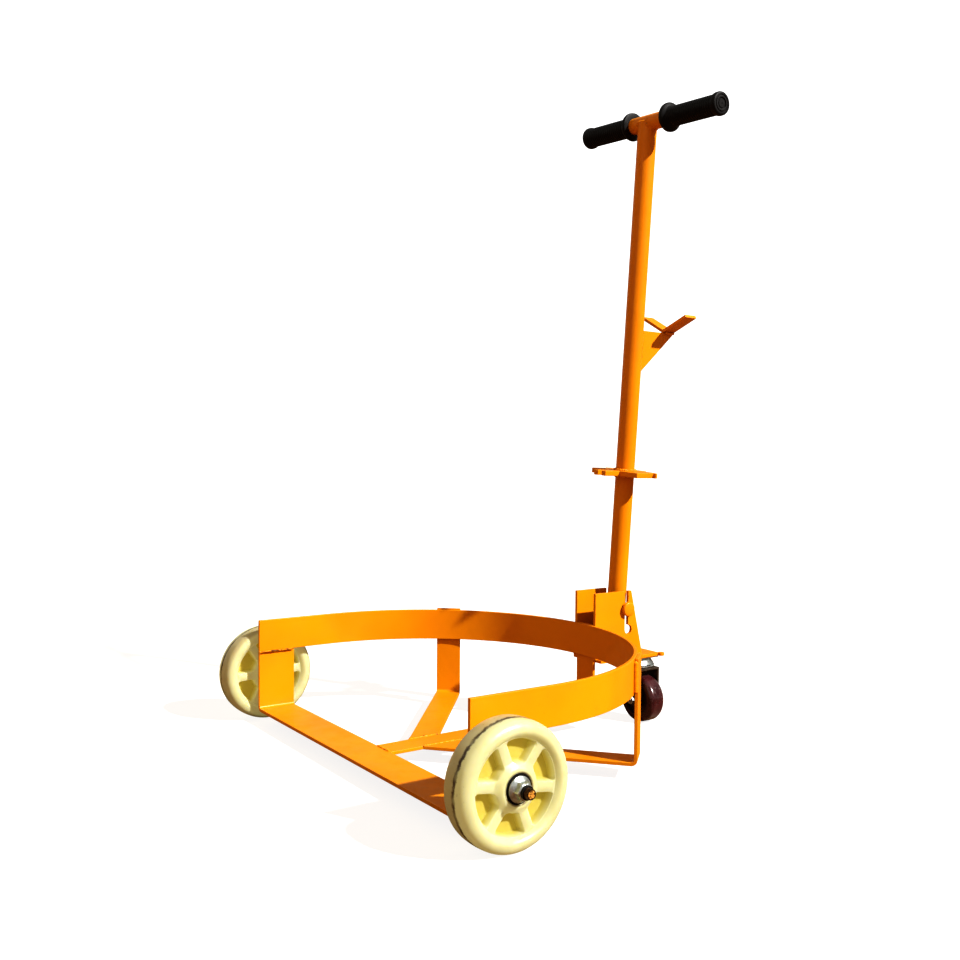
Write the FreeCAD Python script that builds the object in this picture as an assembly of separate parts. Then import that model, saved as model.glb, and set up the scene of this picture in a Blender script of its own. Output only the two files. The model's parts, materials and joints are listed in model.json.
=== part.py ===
"""Low-profile drum dolly: a U-shaped steel ring on two nylon wheels and a caster, with a lift-out handle.

Millimetres. +Z is up, +Y points to the rear (caster and handle), +X to the right; the open mouth faces -Y.
Heights in this file are above the floor. save() lowers each piece so that the origin is the centre of the
drum seat: on the ring's axis, at the top face of the spine bar.
"""
import FreeCAD, Part
import math
import os

V = FreeCAD.Vector
X, Y, Z = V(1, 0, 0), V(0, 1, 0), V(0, 0, 1)

# Welded frame, all from 5 mm flat bar
FLAT_T = 5.0
RING_R = 300.0
BAND_TOP, BAND_H = 166.5, 50.0
MOUTH_Y = -122.0
DECK_TOP = 24.5
CROSSBAR_W, LEG_W = 60.0, 40.0
BEND_R = 4.0
REAR_LEG_ANGLE = {"left": 50.0, "right": 48.5}
REAR_LEG_PROUD = {"left": 2.0, "right": -1.0}

# Handle bracket: two upright plates with keyhole slots, and the plate that carries the caster
BRACKET_GAP = 40.0
BRACKET_TOP, BRACKET_TOP_REAR_Y, BRACKET_FOOT_REAR_Y = 217.0, 381.0, 406.0
SLOT_Y, SLOT_W = 371.0, 7.4
KEYHOLE_Y, KEYHOLE_Z, KEYHOLE_D = 375.0, 154.5, 15.0
MOUNT_TOP, MOUNT_HALF_W, MOUNT_REAR_Y = 112.0, 34.0, 436.0
EAR_R = 5.5

# Fixed wheels
WHEEL_R, WHEEL_W, WHEEL_INNER_X = 75.0, 45.0, 317.0
TREAD_CROWN_R, TREAD_HALF = 110.0, 12.0
AXLE_Y = -95.0
SPOKE_HALF, WEB_HALF, HUB_R, HUB_SLOPE = 17.0, 4.5, 22.0, 8.0
POCKET_R, POCKET_INNER_R, SPOKE_W, SPOKES = 54.0, 28.0, 13.0, 6
POCKET_FILLET, EDGE_FILLET = 1.5, 2.0
WHEEL_TURN = {"left": 3.0, "right": -9.0}
BEARING_OD, BEARING_ID, BEARING_W, BEARING_RECESS = 35.0, 15.0, 11.0, 1.0
RACE_T, BEARING_BALLS = 3.0, 8
SEAL_T, SEAL_GAP, SEAL_INSET = 1.0, 0.1, 0.2
WHEEL_BORE_R, COLLAR_T, SPACER_T = 11.5, 4.0, 2.0
STUD_D, AXLE_END_X = 12.0, 384.0
NUT_AF, NUT_FLANGE_R, NUT_SEAT_R, NUT_SEAT_T = 19.0, 15.0, 10.0, 1.5
NUT_FLANGE_T, NUT_HEX_FROM, NUT_HEX_T, NUT_INSERT_T = 3.0, 6.0, 8.0, 3.0

# Swivel caster
KINGPIN_Y, KINGPIN_D = 413.0, 10.0
TRAIL = 20.0
CASTER_R, TYRE_W, TYRE_T = 37.5, 31.0, 7.5
HUB_W, FORK_GAP, FORK_T = 35.0, 37.0, 3.0
CORE_WALL, CORE_RECESS, TYRE_SHOULDER = 4.0, 8.0, 8.0
CASTER_PLATE_T, CASTER_PLATE_X, CASTER_PLATE_Y = 2.5, 32.0, 23.0
RACE_PITCH_R, BALL_R, BALLS, BALL_Z = 18.0, 3.0, 14, 98.0
RACE_HALF_W, RACE_HALF_GAP, SKIRT_OUT, SKIRT_IN, SKIRT_GAP = 4.0, 0.6, 6.0, 4.6, 1.0
KINGPIN_HEAD_R, KINGPIN_HEAD_T, KINGPIN_HEAD_GAP = 8.0, 4.0, 0.1
CROWN_TOP, CROWN_FRONT, CROWN_REAR, CROWN_REAR_Z = 88.5, -22.0, 36.0, 62.0
FORK_BOSS_R = 11.0
CASTER_AXLE_D, SLEEVE_D, BUSH_D, BUSH_W = 8.0, 12.0, 20.0, 10.0
CASTER_HEX_AF, CASTER_HEAD_T, CASTER_NUT_T, CASTER_THREAD_OUT = 13.0, 5.0, 7.0, 9.0

# Lift-out handle, measured along the tube from its cross pin. The loose pin lets it lean to the right.
PIN_Z, PIN_D = 190.0, 6.6
PIN_HEAD_R, PIN_HEAD_T, PIN_PLAY = 11.5, 6.5, 1.1
WASHER_W, WASHER_IN_GAP, WASHER_OUT_GAP = 5.0, 0.3, 0.8
LEAN_BACK, LEAN_RIGHT = 0.8, 3.6
TUBE_D, TUBE_WALL = 30.0, 2.5
FOOT_DROP, PLUG_T, CROSS_TUBE_RISE = 75.5, 12.0, 771.5
CROSS_TUBE_D, CROSS_TUBE_WALL, CROSS_TUBE_HALF, CROSS_TUBE_SHIFT = 25.0, 2.0, 144.0, 7.0
GRIP_R, GRIP_COLLAR_R, GRIP_IN, GRIP_OUT, GRIP_COLLAR_T = 17.0, 22.0, 38.0, 148.0, 8.0
GRIP_TAPER, GRIP_END_BEVEL = 4.0, (2.0, 3.0)
WRENCH_RISE, WRENCH_T = 218.0, 8.0
WRENCH_ARM_W, WRENCH_ARM_END, WRENCH_SHOULDER_Y = 14.0, -54.0, -24.0
WRENCH_WING_X, WRENCH_TOOTH = 54.0, [(54, 11), (60, 11), (56, 18), (38, 24)]
WRENCH_BACK_Y, WRENCH_TAIL_Y = 24.0, 34.0
WRENCH_NOTCH_W, WRENCH_NOTCH_DEPTH = 4.0, 12.0
GUSSET_TOP, GUSSET_FOOT, GUSSET_REACH = 448.0, 380.0, 86.0
FORK_STRIP_W, FORK_ARM, FORK_ANGLE = 24.0, 56.0, 25.0
RUN_CLEAR = 0.05

SIDES = {"left": -1, "right": 1}


def save(node, shape):
    """Write one piece, or one group of identical pieces, as its own STEP file."""
    placed = shape.copy()
    placed.translate(V(0, 0, -DECK_TOP))
    placed.exportStep(f"parts/{node}.step")


def box(x0, x1, y0, y1, z0, z1):
    return Part.makeBox(x1 - x0, y1 - y0, z1 - z0, V(x0, y0, z0))


def rod(radius, start, direction, length):
    return Part.makeCylinder(radius, length, start, direction)


def ring(outer_r, inner_r, start, direction, length):
    return rod(outer_r, start, direction, length).cut(rod(inner_r, start, direction, length))


def hexagon(across_flats, start, direction, length):
    """A hexagonal prism along X, Y or Z."""
    radius = across_flats / math.sqrt(3)
    corners = [V(radius * math.cos(a), radius * math.sin(a), 0)
               for a in (math.radians(60 * i) for i in range(6))]
    bar = prism(corners, V(0, 0, length))
    bar.Placement = FreeCAD.Placement(start, FreeCAD.Rotation(Z, direction))
    return bar


def prism(points, direction):
    """Extrude a closed outline of straight edges along a vector."""
    return Part.Face(Part.makePolygon(points + points[:1])).extrude(direction)


def revolve(profile, origin, axis, radial):
    """Turn a profile of (distance along the axis, radius) points about the axis."""
    points = [origin + axis * along + radial * radius for along, radius in profile]
    return Part.Face(Part.makePolygon(points + points[:1])).revolve(origin, axis, 360)


def mirror_x(shape):
    return shape.mirror(V(0, 0, 0), X)


def side_copy(shape, side):
    """A piece built on the right, or its mirror image on the left."""
    return shape if side > 0 else mirror_x(shape)


def fillet_at(shape, axis_points, radius, direction):
    """Round the straight edges that run along a direction through the given points."""
    chosen = []
    for edge in shape.Edges:
        if edge.Curve.TypeId != "Part::GeomLine" or edge.Curve.Direction.cross(direction).Length > 1e-6:
            continue
        start = edge.Vertexes[0].Point
        if any((start - p).cross(direction).Length < 1e-3 for p in axis_points):
            chosen.append(edge)
    return shape.makeFillet(radius, chosen)


# ---------------------------------------------------------------- welded frame

def ring_band():
    """The U-shaped band: a half circle with two straight legs that end at the mouth."""
    bottom = BAND_TOP - BAND_H
    edges = []
    for radius in (RING_R + FLAT_T, RING_R):
        arc = Part.Arc(V(-radius, 0, bottom), V(0, radius, bottom), V(radius, 0, bottom)).toShape()
        left = Part.makeLine(V(-radius, MOUTH_Y, bottom), V(-radius, 0, bottom))
        right = Part.makeLine(V(radius, 0, bottom), V(radius, MOUTH_Y, bottom))
        edges += [left, arc, right]
    for side in (-1, 1):
        edges.append(Part.makeLine(V(side * RING_R, MOUTH_Y, bottom),
                                   V(side * (RING_R + FLAT_T), MOUTH_Y, bottom)))
    wire = Part.Wire(Part.__sortEdges__(edges))
    return Part.Face(wire).extrude(V(0, 0, BAND_H))


def front_crossbar():
    """One bar bent into a U: flat under the drum's front edge, then up both sides to the band."""
    outer, inner = RING_R + FLAT_T, RING_R
    low, top = DECK_TOP - FLAT_T, BAND_TOP - BAND_H
    section = [(-outer, top), (-outer, low), (outer, low), (outer, top),
               (inner, top), (inner, DECK_TOP), (-inner, DECK_TOP), (-inner, top)]
    bar = prism([V(x, MOUTH_Y, z) for x, z in section], V(0, CROSSBAR_W, 0))
    bar = fillet_at(bar, [V(-outer, 0, low), V(outer, 0, low)], BEND_R + FLAT_T, Y)
    return fillet_at(bar, [V(-inner, 0, DECK_TOP), V(inner, 0, DECK_TOP)], BEND_R, Y)


def rear_post(start_y, post_top):
    """A 40 mm bar along +Y under the drum that bends up against the outside of the band."""
    inner, outer = RING_R + FLAT_T, RING_R + 2 * FLAT_T
    low = DECK_TOP - FLAT_T
    left = -LEG_W / 2
    section = [(start_y, low), (outer, low), (outer, post_top), (inner, post_top), (inner, DECK_TOP),
               (start_y, DECK_TOP)]
    bar = prism([V(left, y, z) for y, z in section], V(LEG_W, 0, 0))
    bar = fillet_at(bar, [V(0, outer, low)], BEND_R + FLAT_T, X)
    return fillet_at(bar, [V(0, inner, DECK_TOP)], BEND_R, X)


def spine_bar():
    return rear_post(MOUTH_Y + CROSSBAR_W, BAND_TOP)


def rear_leg(name, side):
    """A diagonal bar, cut square to butt against the edge of the spine bar. The two are welded by hand."""
    leg = rear_post(0, BAND_TOP + REAR_LEG_PROUD[name])
    leg.rotate(V(0, 0, 0), Z, -side * REAR_LEG_ANGLE[name])
    reach = RING_R + CROSSBAR_W
    return leg.cut(box(-reach, LEG_W / 2, -reach, reach, 0, BAND_TOP) if side > 0
                   else box(-LEG_W / 2, reach, -reach, reach, 0, BAND_TOP))


def bracket_plate(side):
    """An upright plate whose slot is open at the top and ends in a round hole, set a little rearwards."""
    x = BRACKET_GAP / 2
    front = RING_R + FLAT_T
    outline = [V(x, front, MOUNT_TOP), V(x, front, BRACKET_TOP), V(x, BRACKET_TOP_REAR_Y, BRACKET_TOP),
               V(x, BRACKET_FOOT_REAR_Y, MOUNT_TOP)]
    plate = prism(outline, V(FLAT_T, 0, 0))
    slot = box(x, x + FLAT_T, SLOT_Y - SLOT_W / 2, SLOT_Y + SLOT_W / 2, KEYHOLE_Z, BRACKET_TOP)
    keyhole = rod(KEYHOLE_D / 2, V(x, KEYHOLE_Y, KEYHOLE_Z), X, FLAT_T)
    return side_copy(plate.cut(slot).cut(keyhole), side)


def caster_mount_plate():
    """The flat plate between ring and caster, with a small rounded ear at each rear corner."""
    low = MOUNT_TOP - FLAT_T
    plate = box(-MOUNT_HALF_W, MOUNT_HALF_W, RING_R + 2 * FLAT_T, MOUNT_REAR_Y, low, MOUNT_TOP)
    for side in (-1, 1):
        ear = rod(EAR_R, V(side * (MOUNT_HALF_W + 1), MOUNT_REAR_Y + 3, low), Z, FLAT_T)
        plate = plate.fuse(ear)
    return plate.removeSplitter()


# ---------------------------------------------------------------- fixed wheels

def axle_point(x):
    return V(x, AXLE_Y, WHEEL_R)


def bearing_starts():
    """Inner-face positions of the two bearings in a right-hand wheel."""
    outer_face = WHEEL_INNER_X + WHEEL_W
    return (WHEEL_INNER_X + BEARING_RECESS, outer_face - BEARING_RECESS - BEARING_W)


def circles(shape):
    return [e for e in shape.Edges if e.Curve.TypeId == "Part::GeomCircle"]


def wheel_face_profile():
    """Half of the wheel's section, from axle to crest, as (distance from the middle, radius)."""
    half = WHEEL_W / 2
    turn = math.asin(TREAD_HALF / TREAD_CROWN_R)
    tread_end_r = WHEEL_R - TREAD_CROWN_R * (1 - math.cos(turn))
    shoulder_r = (half - TREAD_HALF) / (1 - math.sin(turn))
    crest_r = tread_end_r - shoulder_r * math.cos(turn)
    middle = (math.pi / 2 - turn) / 2
    shoulder_middle = (half - shoulder_r * (1 - math.cos(middle)), crest_r + shoulder_r * math.sin(middle))
    face = [(half, 0), (half, HUB_R), (SPOKE_HALF, HUB_R + HUB_SLOPE), (SPOKE_HALF, POCKET_R + 1),
            (half, crest_r)]
    return face, shoulder_middle, (TREAD_HALF, tread_end_r)


def wheel_body():
    """The wheel before its pockets are cut: a crowned tread, a round rim, a lower face and a raised hub."""
    centre = axle_point(WHEEL_INNER_X + WHEEL_W / 2)
    face, shoulder_middle, tread_end = wheel_face_profile()

    def at(point, sign):
        return centre + X * (sign * point[0]) + Z * point[1]

    edges = [Part.makeLine(at(face[0], -1), at(face[0], 1))]
    for sign in (-1, 1):
        edges += [Part.makeLine(at(p, sign), at(q, sign)) for p, q in zip(face, face[1:])]
        edges.append(Part.Arc(at(face[-1], sign), at(shoulder_middle, sign), at(tread_end, sign)).toShape())
    edges.append(Part.Arc(at(tread_end, -1), at((0, WHEEL_R), 1), at(tread_end, 1)).toShape())
    section = Part.Face(Part.Wire(Part.__sortEdges__(edges)))
    body = section.revolve(centre, X, 360)
    sharp = (HUB_R, face[-1][1])
    softened = [e for e in circles(body) if any(abs(e.Curve.Radius - r) < 0.01 for r in sharp)]
    return body.makeFillet(EDGE_FILLET, softened)


def wheel_pocket(angle):
    """One pocket between two spokes, with rounded upright corners, deep enough to reach the web."""
    depth = WHEEL_W / 2 - WEB_HALF
    sector = ring(POCKET_R, POCKET_INNER_R, V(0, 0, 0), X, depth)
    for turn in (0, 360 / SPOKES):
        blocker = box(0, depth, -SPOKE_W / 2, SPOKE_W / 2, 0, POCKET_R + 1)
        blocker.rotate(V(0, 0, 0), X, turn)
        sector = sector.cut(blocker)
    middle = V(depth / 2, 0, (POCKET_R + POCKET_INNER_R) / 2)
    middle = FreeCAD.Rotation(X, 180 / SPOKES).multVec(middle)
    pocket = min(sector.Solids, key=lambda solid: solid.CenterOfMass.distanceToPoint(middle))
    uprights = [e for e in pocket.Edges if e.Curve.TypeId == "Part::GeomLine"
                and e.Curve.Direction.cross(X).Length < 1e-6]
    pocket = pocket.makeFillet(2 * POCKET_FILLET, uprights)
    floor_edges = [e for e in pocket.Edges if all(abs(v.Point.x) < 1e-6 for v in e.Vertexes)]
    pocket = pocket.makeFillet(POCKET_FILLET, floor_edges)
    pocket.rotate(V(0, 0, 0), X, angle)
    return pocket


def wheel(turn):
    """A moulded nylon wheel with six pockets a side around a solid web, standing at a given turn."""
    body = wheel_body()
    middle = axle_point(WHEEL_INNER_X + WHEEL_W / 2)
    for index in range(SPOKES):
        pocket = wheel_pocket(90 + turn + index * 360 / SPOKES)
        pocket.translate(V(WEB_HALF, 0, 0))
        for placed in (pocket, mirror_x(pocket)):
            placed.translate(middle)
            body = body.cut(placed)
    body = body.cut(rod(WHEEL_BORE_R, axle_point(WHEEL_INNER_X), X, WHEEL_W))
    for seat_x in (WHEEL_INNER_X, bearing_starts()[1]):
        body = body.cut(rod(BEARING_OD / 2, axle_point(seat_x), X, BEARING_W + BEARING_RECESS))
    return body


def bearing_races(outer, inner):
    races = [ring(outer, inner, axle_point(start), X, BEARING_W) for start in bearing_starts()]
    return Part.makeCompound(races)


def bearing_balls():
    """The balls of both bearings, a hair smaller than the gap between the races."""
    inner, outer = BEARING_ID / 2 + RACE_T, BEARING_OD / 2 - RACE_T
    ball_r = (outer - inner) / 2 - RUN_CLEAR
    pitch = (outer + inner) / 2
    balls = []
    for start in bearing_starts():
        for i in range(BEARING_BALLS):
            a = 2 * math.pi * i / BEARING_BALLS
            centre = axle_point(start + BEARING_W / 2) + V(0, pitch * math.cos(a), pitch * math.sin(a))
            balls.append(Part.makeSphere(ball_r, centre))
    return Part.makeCompound(balls)


def bearing_seals():
    """Two thin rubber shields a bearing, carried by the outer race and clear of the inner one."""
    inner, outer = BEARING_ID / 2 + RACE_T + SEAL_GAP, BEARING_OD / 2 - RACE_T
    seals = []
    for start in bearing_starts():
        for x in (start + SEAL_INSET, start + BEARING_W - SEAL_INSET - SEAL_T):
            seals.append(ring(outer, inner, axle_point(x), X, SEAL_T))
    return Part.makeCompound(seals)


def axle_stub():
    """A turned stub axle, welded to the outside of the upright, with a smaller threaded end."""
    start = RING_R + FLAT_T
    shoulder = bearing_starts()[1] + BEARING_W
    stub = rod(BEARING_ID / 2, axle_point(start), X, shoulder - start)
    return stub.fuse(rod(STUD_D / 2, axle_point(shoulder), X, AXLE_END_X - shoulder)).removeSplitter()


def axle_collar():
    """The spacer between the upright and the inner bearing."""
    start = RING_R + FLAT_T
    return ring(BEARING_ID / 2 + COLLAR_T, BEARING_ID / 2, axle_point(start), X, bearing_starts()[0] - start)


def bearing_spacer():
    """The tube inside the hub that keeps the two inner races apart."""
    start = bearing_starts()[0] + BEARING_W
    return ring(BEARING_ID / 2 + SPACER_T, BEARING_ID / 2, axle_point(start), X, bearing_starts()[1] - start)


def flange_nut():
    """A flanged lock nut that bears on the inner race only."""
    start = bearing_starts()[1] + BEARING_W
    profile = [(0, STUD_D / 2), (0, NUT_SEAT_R), (NUT_SEAT_T, NUT_SEAT_R), (NUT_SEAT_T, NUT_FLANGE_R),
               (NUT_FLANGE_T, NUT_FLANGE_R), (NUT_HEX_FROM, NUT_AF / 2 + 1), (NUT_HEX_FROM, STUD_D / 2)]
    flange = revolve(profile, axle_point(start), X, Z)
    hex_start = axle_point(start + NUT_HEX_FROM)
    body = hexagon(NUT_AF, hex_start, X, NUT_HEX_T).cut(rod(STUD_D / 2, hex_start, X, NUT_HEX_T))
    return flange.fuse(body).removeSplitter()


def nut_insert():
    """The nylon locking ring in the end of the flange nut."""
    start = bearing_starts()[1] + BEARING_W + NUT_HEX_FROM + NUT_HEX_T
    return ring(NUT_AF / 2 - NUT_SEAT_T, STUD_D / 2, axle_point(start), X, NUT_INSERT_T)


def both_sides(shape):
    return Part.makeCompound([shape, mirror_x(shape)])


# ---------------------------------------------------------------- swivel caster

def kingpin_point(z):
    return V(0, KINGPIN_Y, z)


def race_groove():
    return Part.makeTorus(RACE_PITCH_R, BALL_R + RUN_CLEAR, kingpin_point(BALL_Z), Z)


def caster_top_plate():
    """The plate welded under the mount plate, with the upper ball race and a skirt over the balls."""
    top = MOUNT_TOP - FLAT_T
    low = top - CASTER_PLATE_T
    front, rear = KINGPIN_Y - CASTER_PLATE_Y, KINGPIN_Y + CASTER_PLATE_Y
    plate = box(-CASTER_PLATE_X, CASTER_PLATE_X, front, rear, low, top)
    race_low, skirt_low = BALL_Z + RACE_HALF_GAP, CROWN_TOP + SKIRT_GAP
    race_out, race_in = RACE_PITCH_R + RACE_HALF_W, RACE_PITCH_R - RACE_HALF_W
    skirt_out, skirt_in = RACE_PITCH_R + SKIRT_OUT, RACE_PITCH_R + SKIRT_IN
    plate = plate.fuse(ring(race_out, race_in, kingpin_point(race_low), Z, low - race_low))
    plate = plate.fuse(ring(skirt_out, skirt_in, kingpin_point(skirt_low), Z, low - skirt_low))
    plate = plate.cut(race_groove()).cut(rod(KINGPIN_D / 2, kingpin_point(low), Z, CASTER_PLATE_T))
    return plate.removeSplitter()


def kingpin():
    """The swivel pin, fixed in the top plate, with a head below the fork crown."""
    top = MOUNT_TOP - FLAT_T
    head_top = CROWN_TOP - FORK_T - KINGPIN_HEAD_GAP
    low = head_top - KINGPIN_HEAD_T
    shank = rod(KINGPIN_D / 2, kingpin_point(low), Z, top - low)
    head = rod(KINGPIN_HEAD_R, kingpin_point(low), Z, KINGPIN_HEAD_T)
    return shank.fuse(head).removeSplitter()


def swivel_balls():
    balls = []
    for i in range(BALLS):
        a = 2 * math.pi * i / BALLS
        centre = kingpin_point(BALL_Z) + V(RACE_PITCH_R * math.cos(a), RACE_PITCH_R * math.sin(a), 0)
        balls.append(Part.makeSphere(BALL_R, centre))
    return Part.makeCompound(balls)


def wheel_centre(offset):
    """A point on the caster's axle. At rest the caster trails to the right."""
    return V(TRAIL, KINGPIN_Y + offset, CASTER_R)


def fork_leg(side):
    y = KINGPIN_Y + (FORK_GAP / 2 if side > 0 else -FORK_GAP / 2 - FORK_T)
    outline = [V(CROWN_FRONT, y, CROWN_TOP), V(CROWN_REAR, y, CROWN_TOP), V(CROWN_REAR, y, CROWN_REAR_Z),
               V(TRAIL + FORK_BOSS_R, y, CASTER_R), V(TRAIL - FORK_BOSS_R, y, CASTER_R)]
    leg = prism(outline, V(0, FORK_T, 0)).fuse(rod(FORK_BOSS_R, V(TRAIL, y, CASTER_R), Y, FORK_T))
    return leg.cut(rod(CASTER_AXLE_D / 2, V(TRAIL, y, CASTER_R), Y, FORK_T))


def caster_fork():
    """The pressed fork: crown, lower ball race and two legs."""
    low = CROWN_TOP - FORK_T
    half = FORK_GAP / 2 + FORK_T
    crown = box(CROWN_FRONT, CROWN_REAR, KINGPIN_Y - half, KINGPIN_Y + half, low, CROWN_TOP)
    fork = crown.fuse(rod(RACE_PITCH_R + RACE_HALF_W + 1, kingpin_point(low), Z, FORK_T))
    race_h = BALL_Z - RACE_HALF_GAP - CROWN_TOP
    fork = fork.fuse(rod(RACE_PITCH_R + RACE_HALF_W, kingpin_point(CROWN_TOP), Z, race_h))
    fork = fork.cut(rod(RACE_PITCH_R - RACE_HALF_W, kingpin_point(CROWN_TOP), Z, race_h))
    fork = fork.cut(rod(KINGPIN_D / 2 + RUN_CLEAR, kingpin_point(low), Z, FORK_T)).cut(race_groove())
    for side in (-1, 1):
        fork = fork.fuse(fork_leg(side))
    return fork.removeSplitter()


def caster_axle_bolt():
    half = FORK_GAP / 2 + FORK_T
    start = wheel_centre(-half - CASTER_THREAD_OUT)
    shank = rod(CASTER_AXLE_D / 2, start, Y, 2 * half + CASTER_THREAD_OUT)
    return shank.fuse(hexagon(CASTER_HEX_AF, wheel_centre(half), Y, CASTER_HEAD_T)).removeSplitter()


def caster_axle_nut():
    start = wheel_centre(-FORK_GAP / 2 - FORK_T - CASTER_NUT_T)
    nut = hexagon(CASTER_HEX_AF, start, Y, CASTER_NUT_T)
    return nut.cut(rod(CASTER_AXLE_D / 2, start, Y, CASTER_NUT_T))


def caster_axle_sleeve():
    return ring(SLEEVE_D / 2, CASTER_AXLE_D / 2, wheel_centre(-FORK_GAP / 2), Y, FORK_GAP)


def caster_wheel_core():
    """The wheel centre: a rim and a hub joined by a web, bored for two bushes."""
    rim_r = CASTER_R - TYRE_T
    core = rod(rim_r, wheel_centre(-TYRE_W / 2), Y, TYRE_W)
    recess = ring(rim_r - CORE_WALL, BUSH_D / 2 + CORE_WALL, wheel_centre(0), Y, CORE_RECESS)
    for start in (-TYRE_W / 2, TYRE_W / 2 - CORE_RECESS):
        moved = recess.copy()
        moved.translate(V(0, start, 0))
        core = core.cut(moved)
    core = core.fuse(rod(BUSH_D / 2 + CORE_WALL, wheel_centre(-HUB_W / 2), Y, HUB_W))
    core = core.cut(rod(BUSH_D / 2 - 2, wheel_centre(-HUB_W / 2), Y, HUB_W))
    for start in (-HUB_W / 2, HUB_W / 2 - BUSH_W):
        core = core.cut(rod(BUSH_D / 2, wheel_centre(start), Y, BUSH_W))
    return core.removeSplitter()


def caster_tyre():
    """The cast tyre: a rounded tread bonded to the wheel centre."""
    tyre = rod(CASTER_R, wheel_centre(-TYRE_W / 2), Y, TYRE_W)
    tyre = tyre.makeFillet(TYRE_SHOULDER, circles(tyre))
    return tyre.cut(rod(CASTER_R - TYRE_T, wheel_centre(-TYRE_W / 2), Y, TYRE_W))


def caster_wheel_bushes():
    bushes = [ring(BUSH_D / 2, SLEEVE_D / 2 + RUN_CLEAR, wheel_centre(start), Y, BUSH_W)
              for start in (-HUB_W / 2, HUB_W / 2 - BUSH_W)]
    return Part.makeCompound(bushes)


# ---------------------------------------------------------------- handle

def lean(shape):
    """Place a piece built upright around the cross pin at its resting lean."""
    placed = shape.copy()
    placed.rotate(V(0, 0, 0), X, -LEAN_BACK)
    placed.rotate(V(0, 0, 0), Y, LEAN_RIGHT)
    placed.translate(V(0, SLOT_Y, PIN_Z))
    return placed


def cross_tube_point(x):
    return V(x, 0, CROSS_TUBE_RISE)


def handle_tube():
    """The upright tube: fish-mouthed under the cross tube and drilled for the cross pin."""
    tube = ring(TUBE_D / 2, TUBE_D / 2 - TUBE_WALL, V(0, 0, -FOOT_DROP), Z, CROSS_TUBE_RISE + FOOT_DROP)
    tube = tube.cut(rod(CROSS_TUBE_D / 2, cross_tube_point(-TUBE_D), X, 2 * TUBE_D))
    tube = tube.cut(rod(PIN_D / 2 + RUN_CLEAR, V(-TUBE_D, 0, 0), X, 2 * TUBE_D))
    return lean(max(tube.Solids, key=lambda s: s.Volume))


def foot_plug():
    """The plug that closes the tube's foot."""
    return lean(rod(TUBE_D / 2 - TUBE_WALL, V(0, 0, -FOOT_DROP), Z, PLUG_T))


def cross_tube():
    """The cross tube, welded a little off centre to the right."""
    outer = CROSS_TUBE_D / 2
    start = cross_tube_point(CROSS_TUBE_SHIFT - CROSS_TUBE_HALF)
    return lean(ring(outer, outer - CROSS_TUBE_WALL, start, X, 2 * CROSS_TUBE_HALF))


def grip(side):
    """A closed rubber sleeve with a thumb collar at its inner end."""
    bore, length = CROSS_TUBE_D / 2, GRIP_OUT - GRIP_IN
    closed_from = CROSS_TUBE_HALF - GRIP_IN
    bevel_x, bevel_r = GRIP_END_BEVEL
    profile = [(0, bore), (0, GRIP_COLLAR_R), (GRIP_COLLAR_T, GRIP_COLLAR_R),
               (GRIP_COLLAR_T + GRIP_TAPER, GRIP_R), (length - bevel_x, GRIP_R),
               (length, GRIP_R - bevel_r), (length, 0), (closed_from, 0), (closed_from, bore)]
    sleeve = side_copy(revolve(profile, cross_tube_point(GRIP_IN), X, Y), side)
    sleeve.translate(V(CROSS_TUBE_SHIFT, 0, 0))
    return lean(sleeve)


def wrench_plate():
    """The bung-wrench plate: a flat plate round the tube whose arms fit different drum plugs."""
    z = WRENCH_RISE - WRENCH_T / 2
    front, arm = WRENCH_ARM_END, WRENCH_ARM_W
    right = [(arm, front), (arm, WRENCH_SHOULDER_Y), (WRENCH_WING_X, WRENCH_SHOULDER_Y), *WRENCH_TOOTH,
             (arm, WRENCH_BACK_Y), (arm, WRENCH_TAIL_Y)]
    left = [(-x, y) for x, y in reversed(right)]
    plate = prism([V(x, y, z) for x, y in right + left], V(0, 0, WRENCH_T))
    notch = box(-WRENCH_NOTCH_W, WRENCH_NOTCH_W, front, front + WRENCH_NOTCH_DEPTH, z, z + WRENCH_T)
    return lean(plate.cut(notch).cut(rod(TUBE_D / 2, V(0, 0, z), Z, WRENCH_T)))


def hook_gusset():
    """The triangular plate that carries the fork behind the tube."""
    half = FLAT_T / 2
    outline = [V(-half, 0, GUSSET_TOP), V(-half, GUSSET_REACH, GUSSET_TOP),
               V(-half, 0, GUSSET_FOOT - TUBE_D / 2)]
    plate = prism(outline, V(FLAT_T, 0, 0))
    return lean(plate.cut(rod(TUBE_D / 2, V(0, 0, 0), Z, CROSS_TUBE_RISE)))


def hook_fork():
    """A flat strip bent into a shallow V that stands on the gusset's outer end."""
    start_y = GUSSET_REACH - FORK_STRIP_W
    a = math.radians(FORK_ANGLE)
    arm = V(FORK_ARM * math.cos(a), 0, FORK_ARM * math.sin(a))
    up = V(-FLAT_T * math.sin(a), 0, FLAT_T * math.cos(a))
    ridge = V(0, start_y, GUSSET_TOP)
    inner_ridge = ridge + V(0, 0, FLAT_T / math.cos(a))
    right = prism([ridge, ridge + arm, ridge + arm + up, inner_ridge], V(0, FORK_STRIP_W, 0))
    return lean(right.fuse(mirror_x(right)).removeSplitter())


def pivot_pin():
    """The cross pin that rides in both keyhole slots."""
    reach = BRACKET_GAP / 2 + FLAT_T + PIN_PLAY + PIN_HEAD_T
    return lean(rod(PIN_D / 2, V(-reach, 0, 0), X, 2 * reach))


def pin_heads():
    """A thick round head outside each bracket plate."""
    start = BRACKET_GAP / 2 + FLAT_T + PIN_PLAY
    return lean(both_sides(ring(PIN_HEAD_R, PIN_D / 2, V(start, 0, 0), X, PIN_HEAD_T)))


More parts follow.
